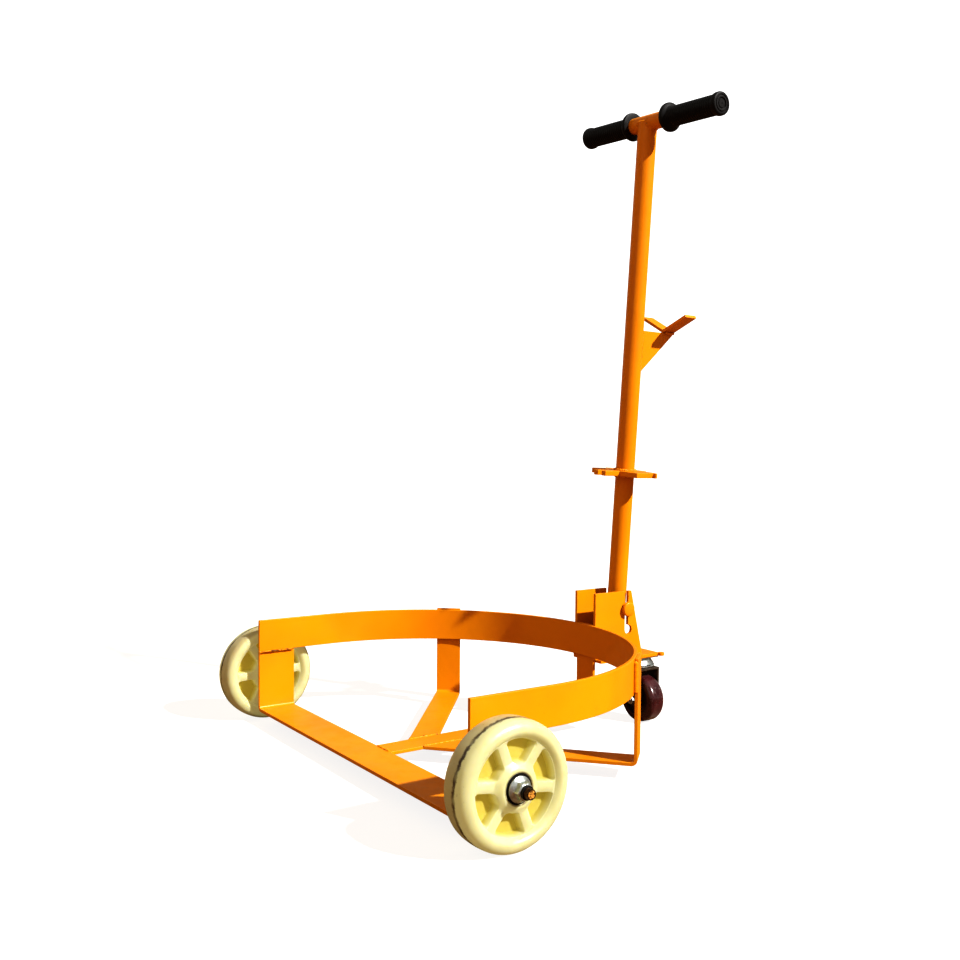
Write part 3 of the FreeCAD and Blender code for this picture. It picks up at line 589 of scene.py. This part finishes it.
def wheel_columns(radius):
    """Angles of the mesh columns at a radius. The columns follow the straight sides of the spokes."""
    near = [math.asin(min(0.49, w * MM / radius)) for w in COLUMN_OFFSETS]
    fill = POCKET_COLUMNS
    half = near + [near[-1] + (SECTOR / 2 - near[-1]) * i / fill for i in range(1, fill)]
    sector = half + [SECTOR / 2] + [SECTOR - a for a in half[:0:-1]]
    return [a + SECTOR * k for k in range(SPOKES) for a in sector]


def face_radii(crest):
    """Radii of the mesh rings on the wheel's face, close together at the pocket walls."""
    radii, radius = [], BEARING_SEAT_R + 1.4 * MM
    while radius < crest - 0.4 * MM:
        radii.append(radius)
        wall = min(abs(radius - POCKET_IN - 0.6 * MM), abs(radius - POCKET_OUT + 0.6 * MM))
        radius += FINE_STEP if wall < 2.0 * MM else COARSE_STEP
    return radii


def tread_stations():
    """Distances from the wheel's middle plane across the tread, close together at the moulding groove."""
    wide = [TREAD_HALF * (1 - 2 * i / TREAD_STEPS) for i in range(1, TREAD_STEPS)]
    fine = [GROOVE_AT + GROOVE_HALF * i / 5 for i in range(-6, 7)]
    return sorted([a for a in wide if abs(a - GROOVE_AT) > 1.3 * GROOVE_HALF] + fine, reverse=True)


def seat_section():
    """(radius, along) of the bearing's seat, from the bore's edge to the eased edge of the hub's face."""
    floor = WHEEL_HALF - SEAT_DEPTH
    return [(BORE_R, floor), (BEARING_SEAT_R, floor), (BEARING_SEAT_R, WHEEL_HALF - SEAT_CHAMFER),
            (BEARING_SEAT_R + SEAT_EASE, WHEEL_HALF - SEAT_EASE),
            (BEARING_SEAT_R + SEAT_CHAMFER, WHEEL_HALF)]


def wheel_section():
    """(radius, along, is face) from the bore, over the outer face and the tread, to the inner face."""
    crest, shoulder, turn = wheel_shoulder()
    half = [(r, a, False) for r, a in seat_section()]
    half += [(r, face_height(r, crest), True) for r in face_radii(crest)]
    for i in range(SHOULDER_STEPS + 1):
        a = (math.pi / 2 - turn) * i / SHOULDER_STEPS
        half.append((crest + shoulder * math.sin(a), WHEEL_HALF - shoulder * (1 - math.cos(a)), False))
    tread = []
    for a in tread_stations():
        radius = WHEEL_R - TREAD_CROWN_R + math.sqrt(TREAD_CROWN_R ** 2 - a ** 2)
        dip = GROOVE_DEPTH * (1 - smooth_step(abs(a - GROOVE_AT), GROOVE_FLAT, GROOVE_HALF))
        tread.append((radius - dip, a, False))
    return half + tread + [(r, -a, f) for r, a, f in half[::-1]]


def add_wheel(side_name, sign):
    """One fixed wheel: six pockets a side, a coned hub, a round rim and a groove round the tread."""
    centre = Vector((sign * WHEEL_MID_X, AXLE_Y, AXLE_Z))
    turn = WHEEL_TURN[side_name]
    rings, pocket, across, tread, seat = [], [], [], [], []
    for radius, along, is_face in wheel_section():
        ring = []
        for angle in wheel_columns(radius):
            depth = pocket_depth(radius, angle) if is_face else 0.0
            height = abs(along) - (spoke_drop(radius, angle) if is_face else 0.0)
            outward = math.copysign(height + (WEB_HALF - height) * depth, along)
            a = angle + turn
            ring.append(centre + Vector((sign * outward, radius * math.cos(a), radius * math.sin(a))))
            pocket.append(depth)
            across.append(outward)
            tread.append(smooth_step(radius, WHEEL_R - 7 * MM, WHEEL_R - 2.5 * MM))
            seat.append(1 - smooth_step(radius, BEARING_SEAT_R + 0.6 * MM, BEARING_SEAT_R + 2.4 * MM))
        rings.append(ring)
    mesh = bmesh.new()
    skin_rings(mesh, rings, close_rings=True)
    attributes = {"pocket": pocket, "across": across, "tread": tread, "seat": seat}
    name, body = f"{side_name}_nylon_wheel", f"{side_name}_wheel"
    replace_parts(add_piece(name, mesh, NYLON, body, attributes), body)


# ---------------------------- axle nuts and thread ends

NUT_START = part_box("bearing_inner_races")[1].x
NUT_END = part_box("axle_flange_nuts")[1].x
STUB_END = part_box("right_axle_stub")[1].x
FLANGE_R = width_of("axle_flange_nuts", 2) / 2
FLANGE_SEAT_R = 10 * MM
STUD_R = 6 * MM
NUT_FLAT, NUT_SEGMENTS = 9.5 * MM, 144
COLLAR_GAP = 0.3 * MM
ROUND, HEX, CHAMFERED, BLENDED = range(4)
THREAD_PITCH, THREAD_CREST, THREAD_ROOT = 1.75 * MM, STUD_R + 0.42 * MM, STUD_R + 0.06 * MM
THREAD_SEGMENTS, STEPS_PER_PITCH = 48, 8
END_BEVEL, END_DOME = 1.7 * MM, 0.35 * MM


def axle_place(sign):
    return Matrix.Translation((0, AXLE_Y, AXLE_Z)) @ mirrored(sign)


def nut_profile():
    """(along, radius, shape) of a flanged hex nut, from its bore at the bearing to its bore outside."""
    flange = [(0.0, STUD_R, ROUND), (0.0, FLANGE_SEAT_R, ROUND), (1.4, FLANGE_SEAT_R, ROUND),
              (1.4, FLANGE_R - 0.5 * MM, ROUND), (1.9, FLANGE_R, ROUND), (2.8, FLANGE_R - 0.2 * MM, ROUND),
              (4.0, FLANGE_R - 2.0 * MM, ROUND), (5.0, FLANGE_R - 3.6 * MM, BLENDED),
              (5.8, NUT_FLAT + 0.4 * MM, HEX)]
    top = [(-2.2, NUT_FLAT, HEX), (-1.1, NUT_FLAT, CHAMFERED), (0.0, NUT_FLAT - 0.7 * MM, ROUND),
           (0.3, NUT_FLAT - 1.6 * MM, ROUND), (0.3, STUD_R, ROUND)]
    low = [(NUT_START + x * MM, radius, shape) for x, radius, shape in flange]
    return low + [(NUT_END - COLLAR_GAP + x * MM, radius, shape) for x, radius, shape in top]


def nut_radius(radius, shape, corner):
    """A ring's radius at an angle, where corner is the hexagon's own radius."""
    if shape == HEX:
        return corner
    if shape == CHAMFERED:
        return min(corner, NUT_FLAT * 1.06)
    if shape == BLENDED:
        return max(radius, corner)
    return radius


def nut_rings(place):
    """A flanged hex nut: domed flange, six flats with curved chamfers, and a rolled collar at the top."""
    rings = []
    for along, radius, shape in nut_profile():
        ring = []
        for a in round_turn(NUT_SEGMENTS):
            r = nut_radius(radius, shape, NUT_FLAT / math.cos((a % (math.pi / 3)) - math.pi / 6))
            ring.append(place @ Vector((along, r * math.cos(a), r * math.sin(a))))
        rings.append(ring)
    return rings


def add_nuts():
    mesh = bmesh.new()
    for sign in SIDES.values():
        skin_rings(mesh, nut_rings(axle_place(sign)), close_rings=True)
    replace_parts(add_piece("flanged_lock_nuts", mesh, ZINC, "frame"), "axle_flange_nuts")


def thread_rings(place):
    """Rings of one threaded end with its bevelled tip, and how far each point lies on the painted tip."""
    start, end = NUT_END - 1 * MM, STUB_END + 0.25 * MM
    steps = round((end - start) / (THREAD_PITCH / STEPS_PER_PITCH))
    rings, dab = [], []
    for k in range(steps + 1):
        x = start + (end - start) * k / steps
        ring = []
        for i, a in enumerate(round_turn(THREAD_SEGMENTS)):
            phase = (x / THREAD_PITCH - i / THREAD_SEGMENTS) % 1.0
            r = THREAD_ROOT + (THREAD_CREST - THREAD_ROOT) * (1 - abs(2 * phase - 1))
            r -= END_BEVEL * smooth_step(x, end - 2.2 * MM, end)
            ring.append(place @ Vector((x, r * math.cos(a), r * math.sin(a))))
        rings.append(ring)
        dab += [smooth_step(x, end - 1.2 * MM, end)] * THREAD_SEGMENTS
    for share in (0.75, 0.5, 0.25):
        along, radius = end + END_DOME * (1 - share), (THREAD_ROOT - END_BEVEL) * share
        rings.append(ring_about_x(place, along, radius, THREAD_SEGMENTS))
        dab += [1.0] * THREAD_SEGMENTS
    return rings, dab


def add_thread_ends():
    """The threaded ends of the axles outside the nuts, with dabs of paint on their flat ends."""
    mesh = bmesh.new()
    dab = []
    for sign in SIDES.values():
        rings, end_dab = thread_rings(axle_place(sign))
        skin_rings(mesh, rings)
        dab += end_dab
    add_piece("axle_thread_ends", mesh, AXLE_END, "frame", {"dab": dab})


# ---------------------------- handle grips

GRIP_BODY_R, GRIP_COLLAR_R, GRIP_END_R = 14.6 * MM, 22 * MM, 17.2 * MM
COLLAR_ROUND, COLLAR_HALF, COLLAR_MID = 1.2 * MM, 2.8 * MM, 4.0 * MM
RIB_PITCH, RIB_STEPS, RIB_HEIGHT, RIB_ROOT = 4.6 * MM, 8, 0.75 * MM, -0.4
RIBS_INSET, CAP_LENGTH = 12 * MM, 9 * MM
# (radius, depth below the end) of the concentric steps moulded into the end cap, in mm
CAP_STEPS = ((14.4, 0.5), (13.2, 0.5), (12.8, 1.3), (11.4, 1.3), (11.0, 0.3), (9.4, 0.0), (8.4, 0.2),
             (8.0, 1.4), (6.6, 1.4), (6.2, 0.4), (3.0, 0.3), (1.0, 0.3))
CAP_CENTRE_R, CAP_BACK_GAP = 1.0 * MM, 0.4 * MM


def grip_profile(inner, outer, bore, bar_end):
    """A ribbed grip: thumb collar, rows of ribs, and a stepped round end cap."""
    points = [(inner, bore), (inner, GRIP_COLLAR_R - 2 * MM), (inner + 0.6 * MM, GRIP_COLLAR_R - 0.6 * MM)]
    for i in range(7):
        a = math.pi * i / 6
        points.append((inner + COLLAR_MID - COLLAR_HALF * math.cos(a),
                       GRIP_COLLAR_R - COLLAR_ROUND + COLLAR_ROUND * math.sin(a)))
    points += [(inner + 8.0 * MM, GRIP_COLLAR_R - 2.6 * MM), (inner + 9.0 * MM, GRIP_BODY_R + 2.6 * MM),
               (inner + 10.4 * MM, GRIP_BODY_R + 0.9 * MM)]
    ribs_from, ribs_to = inner + RIBS_INSET, outer - RIBS_INSET
    steps = round((ribs_to - ribs_from) / RIB_PITCH) * RIB_STEPS
    for k in range(steps):
        wave = max(RIB_ROOT, math.sin(2 * math.pi * k / RIB_STEPS))
        points.append((ribs_from + (ribs_to - ribs_from) * k / steps, GRIP_BODY_R + RIB_HEIGHT * wave))
    cap = outer - CAP_LENGTH
    points += [(cap - 1.5 * MM, GRIP_BODY_R), (cap, GRIP_END_R - 1.2 * MM),
               (cap + 0.8 * MM, GRIP_END_R - 0.2 * MM), (cap + 2.0 * MM, GRIP_END_R),
               (outer - 3.0 * MM, GRIP_END_R), (outer - 1.6 * MM, GRIP_END_R - 0.5 * MM),
               (outer - 0.8 * MM, GRIP_END_R - 1.6 * MM)]
    points += [(outer - depth * MM, radius * MM) for radius, depth in CAP_STEPS]
    cap_back = bar_end + CAP_BACK_GAP
    return points + [(cap_back, CAP_CENTRE_R), (cap_back, bore)]


def add_grips():
    bar_low, bar_high = local_box("handle_cross_tube", TO_HANDLE)
    bore = (bar_high.y - bar_low.y) / 2
    bar_z = (bar_low.z + bar_high.z) / 2
    for name, sign in SIDES.items():
        low, high = local_box(f"{name}_grip", TO_HANDLE)
        inner, outer, bar_end = (low.x, high.x, bar_high.x) if sign > 0 else (-high.x, -low.x, -bar_low.x)
        place = HANDLE @ Matrix.Translation((0, 0, bar_z)) @ mirrored(sign)
        mesh = bmesh.new()
        skin_turned(mesh, grip_profile(inner, outer, bore, bar_end), place)
        piece = add_piece(f"{name}_ribbed_grip", mesh, RUBBER, "handle")
        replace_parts(piece, f"{name}_grip")


# ---------------------------- cross-pin heads and the caster's swivel head

PIN_HEAD_T = 6.5 * MM
KINGPIN_BELOW_CROWN = 7.1 * MM
CUP_BELOW_PLATE_TOP, CUP_ABOVE_RACE, CUP_WALL = 2.6 * MM, 0.8 * MM, 1.4 * MM
# (share of the cup's depth from its top, outside radius in mm)
CUP_OUTSIDE = ((0.0, 25.6), (0.12, 26.6), (0.35, 27.0), (0.6, 28.2), (0.85, 30.6), (1.0, 31.2))
RACE_TOP = 3.4 * MM
# (height above the fork's crown, radius) of the rolled race, in mm
RACE = ((3.4, 24.0), (3.4, 30.4), (2.9, 32.0), (2.0, 32.9),
        (1.2, 32.9), (0.5, 32.0), (0.1, 30.6), (0.1, 24.0))


def pin_head_profile(start, end, radius, bore):
    """A thick washer-like head with a rounded rim and a low dome that covers the pin's end."""
    dome_back, dome_eye = end + 0.1 * MM, 0.12 * MM
    return [(start, bore), (start, radius - 0.8 * MM), (start + 0.8 * MM, radius), (end - 1.8 * MM, radius),
            (end - 0.9 * MM, radius - 0.35 * MM), (end - 0.3 * MM, radius - 1.1 * MM),
            (end, radius - 2.2 * MM), (end + 0.5 * MM, radius * 0.5), (end + 0.7 * MM, dome_eye),
            (dome_back, dome_eye), (dome_back, bore)]


def add_pin_heads():
    """Thick painted heads that close over the ends of the cross pin."""
    low, high = local_box("pivot_pin_heads", TO_HANDLE)
    radius, bore = (high.z - low.z) / 2, width_of("pivot_pin", 1) / 2
    profile = pin_head_profile(high.x - PIN_HEAD_T, high.x, radius, bore)
    mesh = bmesh.new()
    for sign in SIDES.values():
        skin_turned(mesh, profile, HANDLE @ mirrored(sign), 64)
    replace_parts(add_piece("round_pin_heads", mesh, PAINT, "handle_pivot"), "pivot_pin_heads")


def about_kingpin(z):
    """A placing matrix whose X axis runs up the kingpin's axis from height z."""
    plate_low, plate_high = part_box("caster_top_plate")
    middle = (plate_low + plate_high) / 2
    return Matrix.Translation((middle.x, middle.y, z)) @ Matrix.Rotation(math.radians(-90), 4, "Y")


def add_swivel_head():
    """The zinc cup under the caster's plate and the rolled zinc race on top of its fork."""
    crown_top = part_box("caster_kingpin")[0].z + KINGPIN_BELOW_CROWN
    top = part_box("caster_top_plate")[1].z - CUP_BELOW_PLATE_TOP
    cup_low = crown_top + RACE_TOP + CUP_ABOVE_RACE
    outside = [(cup_low + (top - cup_low) * (1 - share) - top, radius * MM)
               for share, radius in CUP_OUTSIDE]
    inside = [(z, radius - CUP_WALL) for z, radius in outside[::-1]]
    mesh = bmesh.new()
    skin_turned(mesh, outside + inside, about_kingpin(top))
    add_piece("swivel_cup", mesh, ZINC, "frame")
    mesh = bmesh.new()
    skin_turned(mesh, [(z * MM, radius * MM) for z, radius in RACE], about_kingpin(crown_top))
    add_piece("swivel_race", mesh, ZINC, "caster_swivel")


# ---------------------------- weld beads

WELD_INSET = 2 * MM
X_AXIS, UP = Vector((1, 0, 0)), Vector((0, 0, 1))


def weld_band():
    """The rough seam under the ring band, where it stands on the crossbar's uprights."""
    x = RING_INNER + 0.4 * MM
    front, rear = CROSSBAR_LOW.y + WELD_INSET, CROSSBAR_HIGH.y - WELD_INSET
    paths = [line((sign * x, front, BAND_LOW.z), (sign * x, rear, BAND_LOW.z)) for sign in SIDES.values()]
    add_beads("welds_band_to_crossbar", paths, 1.0 * MM, lumpy=1.5, material=SEAM_PAINT)


def weld_deck():
    """The joints between the crossbar, the spine bar and the rear legs, just below the seat plane."""
    z = -0.3 * MM
    half = SPINE_HALF - WELD_INSET
    paths = [line((-half, CROSSBAR_HIGH.y, z), (half, CROSSBAR_HIGH.y, z))]
    for name, sign in SIDES.items():
        turn = REAR_LEG_ANGLE[name]
        ends = []
        for offset in (-SPINE_HALF, SPINE_HALF):
            along = (SPINE_HALF - offset * math.cos(turn)) / math.sin(turn)
            ends.append((sign * SPINE_HALF, along * math.cos(turn) - offset * math.sin(turn), z))
        paths.append(line(*ends))
    add_beads("welds_deck_bars", paths, 2.0 * MM)


def weld_posts():
    """Smooth painted fillets up both sides of each rear leg's post, against the ring band."""
    paths = []
    for name, sign in SIDES.items():
        place = Matrix.Rotation(-sign * REAR_LEG_ANGLE[name], 4, "Z")
        for x in (-SPINE_HALF - 0.5 * MM, SPINE_HALF + 0.5 * MM):
            y = math.sqrt(RING_OUTER ** 2 - x ** 2) + 1.6 * MM
            low, high = Vector((x, y, BAND_LOW.z + 2 * MM)), Vector((x, y, BAND_HIGH.z - 4 * MM))
            paths.append(line(place @ low, place @ high))
    add_beads("welds_posts_to_band", paths, 3.9 * MM, lumpy=0.25, material=PAINT)


def weld_bracket():
    """Beads outside the bracket plates: up the ring band, and along the mount plate."""
    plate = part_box("right_bracket_plate")[1]
    band_y = math.sqrt(RING_OUTER ** 2 - plate.x ** 2) + 0.6 * MM
    foot_y, foot_z = PLATE_T + RING_OUTER + 3 * MM, MOUNT_HIGH.z + 0.3 * MM
    paths = []
    for sign in SIDES.values():
        x = sign * plate.x
        paths.append(line((x, band_y, MOUNT_HIGH.z), (x, band_y, BAND_HIGH.z - 3 * MM)))
        paths.append(line((x, foot_y, foot_z), (x, plate.y - 3 * MM, foot_z)))
    add_beads("welds_bracket", paths, 2.2 * MM)


def weld_caster_plate():
    """Beads along the two sides of the caster's plate, under the mount plate."""
    low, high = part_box("caster_top_plate")
    z = MOUNT_LOW.z - 0.4 * MM
    paths = [line((x, low.y + 6 * MM, z), (x, high.y - 6 * MM, z)) for x in (low.x, high.x)]
    add_beads("welds_caster_plate", paths, 1.4 * MM)


def weld_axles():
    """Round beads where the axles' collars meet the uprights."""
    radius = width_of("axle_collars", 2) / 2
    paths = [circle(Vector((sign * RING_OUTER, AXLE_Y, AXLE_Z)), radius, X_AXIS) for sign in SIDES.values()]
    add_beads("welds_axles", paths, 1.9 * MM)


def weld_cross_tube(tube_r):
    """The saddle-shaped bead where the handle tube meets the cross tube."""
    low, high = local_box("handle_cross_tube", TO_HANDLE)
    bar_z, bar_r = (low.z + high.z) / 2, (high.y - low.y) / 2
    saddle = []
    for a in round_turn(72):
        x, y = tube_r * math.cos(a), tube_r * math.sin(a)
        drop = math.sqrt(max(0.0, bar_r ** 2 - y ** 2))
        saddle.append(HANDLE @ Vector((x, max(-bar_r, min(bar_r, y)), bar_z - drop)))
    add_beads("weld_cross_tube", [(saddle, True)], 2.0 * MM, "handle")


def weld_wrench_plate(tube_r):
    """Round beads above and below the wrench plate."""
    low, high = local_box("wrench_plate", TO_HANDLE)
    up = HANDLE.to_3x3() @ UP
    heights = ((high.z + 0.6 * MM, 0.9 * MM), (low.z - 0.3 * MM, 0.3 * MM))
    paths = [circle(HANDLE @ Vector((0, 0, z)), tube_r + grow, up) for z, grow in heights]
    add_beads("welds_wrench_plate", paths, 2.5 * MM, "handle")


def weld_hook(tube_r):
    """Beads down both sides of the gusset, and under the hook's fork."""
    low, high = local_box("hook_gusset", TO_HANDLE)
    half = PLATE_T / 2
    edge_y = math.sqrt(tube_r ** 2 - half ** 2) + 0.4 * MM
    fork_z = high.z - 0.2 * MM
    paths = []
    for sign in SIDES.values():
        x, fork_x = sign * half, sign * (half + 0.6 * MM)
        paths.append(line(HANDLE @ Vector((x, edge_y, low.z + 17 * MM)),
                          HANDLE @ Vector((x, edge_y, high.z - 2 * MM))))
        paths.append(line(HANDLE @ Vector((fork_x, high.y - 22 * MM, fork_z)),
                          HANDLE @ Vector((fork_x, high.y - 2 * MM, fork_z))))
    add_beads("welds_hook", paths, 1.9 * MM, "handle")


def add_welds():
    weld_band()
    weld_deck()
    weld_posts()
    weld_bracket()
    weld_caster_plate()
    weld_axles()
    tube_r = local_box("handle_tube", TO_HANDLE)[1].x
    weld_cross_tube(tube_r)
    weld_wrench_plate(tube_r)
    weld_hook(tube_r)


# ---------------------------- CAD nodes that stay

WELD_WITHIN, FLAT_BELOW, SHARP_ABOVE = 0.01 * MM, math.radians(0.4), math.radians(28)
# width of the bevel on each node's sharp edges, in mm
BEVELS = dict.fromkeys(("ring_band", "front_crossbar", "spine_bar", "left_rear_leg", "right_rear_leg",
                        "left_bracket_plate", "right_bracket_plate", "caster_mount_plate",
                        "hook_gusset"), 0.7)
BEVELS |= dict.fromkeys(("wrench_plate", "hook_fork"), 0.8)
BEVELS |= dict.fromkeys(("pivot_washers", "caster_top_plate", "caster_axle_bolt", "caster_axle_nut"), 0.4)
BEVELS |= {"caster_fork": 0.5, "caster_wheel_core": 0.6}
NODE_MATERIALS = {
    "frame_paint": PAINT, "wheel_nylon": NYLON, "zinc": ZINC, "bearing_steel": BEARING_STEEL,
    "black_rubber": SEAL_RUBBER, "caster_polyurethane": POLYURETHANE, "caster_core_iron": CASTER_CENTRE,
    "bush_nylon": BUSH_NYLON, "black_steel": BLACK_STEEL,
}
OWN_MATERIALS = {
    # the bearings' steel outer races are drawn in the black seal rubber, so the ring round each nut shows
    # black
    "left_bearing_outer_races": SEAL_RUBBER, "right_bearing_outer_races": SEAL_RUBBER,
    "left_axle_stub": AXLE_END, "right_axle_stub": AXLE_END,
}


def dress_node(name, material, bevel):
    """Give a CAD node its finish, and break its sharp edges without touching its own mesh."""
    node = frame["nodes"][name]
    for slot in node.material_slots:
        slot.material = material
    if bevel:
        weld = node.modifiers.new("weld", "WELD")
        weld.merge_threshold = WELD_WITHIN
        flat = node.modifiers.new("flat", "DECIMATE")
        flat.decimate_type = "DISSOLVE"
        flat.angle_limit = FLAT_BELOW
        soft = node.modifiers.new("soft", "BEVEL")
        soft.limit_method = "ANGLE"
        soft.angle_limit = SHARP_ABOVE
        soft.width = bevel * MM
        soft.segments = 3
        soft.use_clamp_overlap = True
        soft.miter_outer = "MITER_ARC"
        node.modifiers.new("normals", "WEIGHTED_NORMAL").weight = 80


def dress_nodes():
    slots = {part["node"]: part["material_slot"] for part in frame["record"]["subparts"]}
    for name, slot in slots.items():
        dress_node(name, OWN_MATERIALS.get(name, NODE_MATERIALS[slot]), BEVELS.get(name, 0))


# ---------------------------- stage, lights and camera


FLOOR_PALE, FLOOR_PALER = (0.90, 0.90, 0.89, 1), (0.95, 0.95, 0.945, 1)
FLOOR_GLOW, FLOOR_GLOW_SHARE = 0.98, 0.62
FLOOR_BOUNCE, FLOOR_R, FLOOR_GAP = (0.24, 0.13, 0.07), 60.0, 0.0002
WHITE, SOFT_FILL = (1.0, 1.0, 1.0), (0.225, 0.165, 0.10)
GLOSS_DARK, GLOSS_PALE = (0.07, 0.06, 0.05, 1), (0.62, 0.60, 0.56, 1)


def floor_material():
    """A pale studio floor: it looks nearly white, and bounces only a little warm light."""
    material = bpy.data.materials.new("studio_floor")
    tree = Tree(material)
    ramp = tree.node("ValToRGB", {0: tree.node("TexNoise", {"Scale": 14.0}).outputs["Fac"]})
    ramp.color_ramp.elements[0].color = FLOOR_PALE
    ramp.color_ramp.elements[1].color = FLOOR_PALER
    lit = tree.node("BsdfDiffuse", {"Color": ramp.outputs[0]}).outputs[0]
    glow = tree.node("Emission", {"Color": WHITE, "Strength": FLOOR_GLOW}).outputs[0]
    seen = tree.node("MixShader", {0: FLOOR_GLOW_SHARE, 1: lit, 2: glow}).outputs[0]
    bounce = tree.node("BsdfDiffuse", {"Color": FLOOR_BOUNCE}).outputs[0]
    from_camera = tree.node("LightPath").outputs["Is Camera Ray"]
    surface = tree.node("MixShader", {0: from_camera, 1: bounce, 2: seen}).outputs[0]
    tree.node("OutputMaterial", {"Surface": surface})
    return material


def add_floor():
    mesh = bmesh.new()
    bmesh.ops.create_circle(mesh, cap_ends=True, segments=96, radius=FLOOR_R)
    data = bpy.data.meshes.new("floor")
    mesh.to_mesh(data)
    mesh.free()
    data.materials.append(floor_material())
    floor = bpy.data.objects.new("floor", data)
    floor.location = (0, 0, FLOOR_Z - FLOOR_GAP)
    scene.collection.objects.link(floor)


def add_world():
    """White behind the object, a warm soft fill for its shaded faces, and pale studio reflections."""
    scene.world = bpy.data.worlds.new("studio")
    tree = Tree(scene.world)
    place = tree.node("TexCoord").outputs["Generated"]
    panels = tree.node("TexNoise", {"Vector": place, "Scale": 2.4, "Detail": 1.0}).outputs["Fac"]
    ramp = tree.node("ValToRGB", {0: panels})
    dark, pale = ramp.color_ramp.elements
    dark.position, dark.color = 0.42, GLOSS_DARK
    pale.position, pale.color = 0.58, GLOSS_PALE
    seen = tree.node("Background", {"Color": WHITE}).outputs[0]
    fill = tree.node("Background", {"Color": SOFT_FILL}).outputs[0]
    gloss = tree.node("Background", {"Color": ramp.outputs[0]}).outputs[0]
    ray = tree.node("LightPath").outputs
    light = tree.node("MixShader", {0: ray["Is Glossy Ray"], 1: fill, 2: gloss}).outputs[0]
    surface = tree.node("MixShader", {0: ray["Is Camera Ray"], 1: light, 2: seen}).outputs[0]
    tree.node("OutputWorld", {"Surface": surface})


def add_sun(name, azimuth, elevation, strength, softness, colour):
    """A distant light. Azimuth is from +X towards +Y."""
    light = bpy.data.lights.new(name, "SUN")
    light.energy = strength
    light.angle = math.radians(softness)
    light.color = colour
    lamp = bpy.data.objects.new(name, light)
    a, e = math.radians(azimuth), math.radians(elevation)
    towards = Vector((math.cos(a) * math.cos(e), math.sin(a) * math.cos(e), math.sin(e)))
    lamp.rotation_mode = "QUATERNION"
    lamp.rotation_quaternion = towards.to_track_quat("Z", "Y")
    scene.collection.objects.link(lamp)


CAMERA_AT = Vector((1.2520, -0.7625, 0.4249))
CAMERA_YAW, CAMERA_PITCH, CAMERA_ROLL = 55.47, -1.90, 0.43
FOCAL_PIXELS, FRAME_PIXELS, SENSOR = 1028.7, 960, 36.0


def add_camera():
    data = bpy.data.cameras.new("camera")
    data.sensor_width = SENSOR
    data.lens = FOCAL_PIXELS * SENSOR / FRAME_PIXELS
    data.clip_start, data.clip_end = 0.05, 200.0
    camera = bpy.data.objects.new("camera", data)
    camera.matrix_world = (Matrix.Translation(CAMERA_AT)
                           @ Matrix.Rotation(math.radians(CAMERA_YAW), 4, "Z")
                           @ Matrix.Rotation(math.radians(90 + CAMERA_PITCH), 4, "X")
                           @ Matrix.Rotation(math.radians(CAMERA_ROLL), 4, "Z"))
    scene.collection.objects.link(camera)
    scene.camera = camera


for wheel_name, wheel_sign in SIDES.items():
    add_wheel(wheel_name, wheel_sign)
add_nuts()
add_thread_ends()
add_grips()
add_pin_heads()
add_swivel_head()
add_welds()
dress_nodes()
add_floor()
add_world()
add_sun("key", 27.0, 39.0, 4.5, 1.5, (1.0, 0.985, 0.95))
add_sun("soft_front", -75.0, 22.0, 0.25, 60.0, (1.0, 0.80, 0.62))
add_camera()
scene.view_settings.view_transform = "Standard"
scene.view_settings.look = "High Contrast"
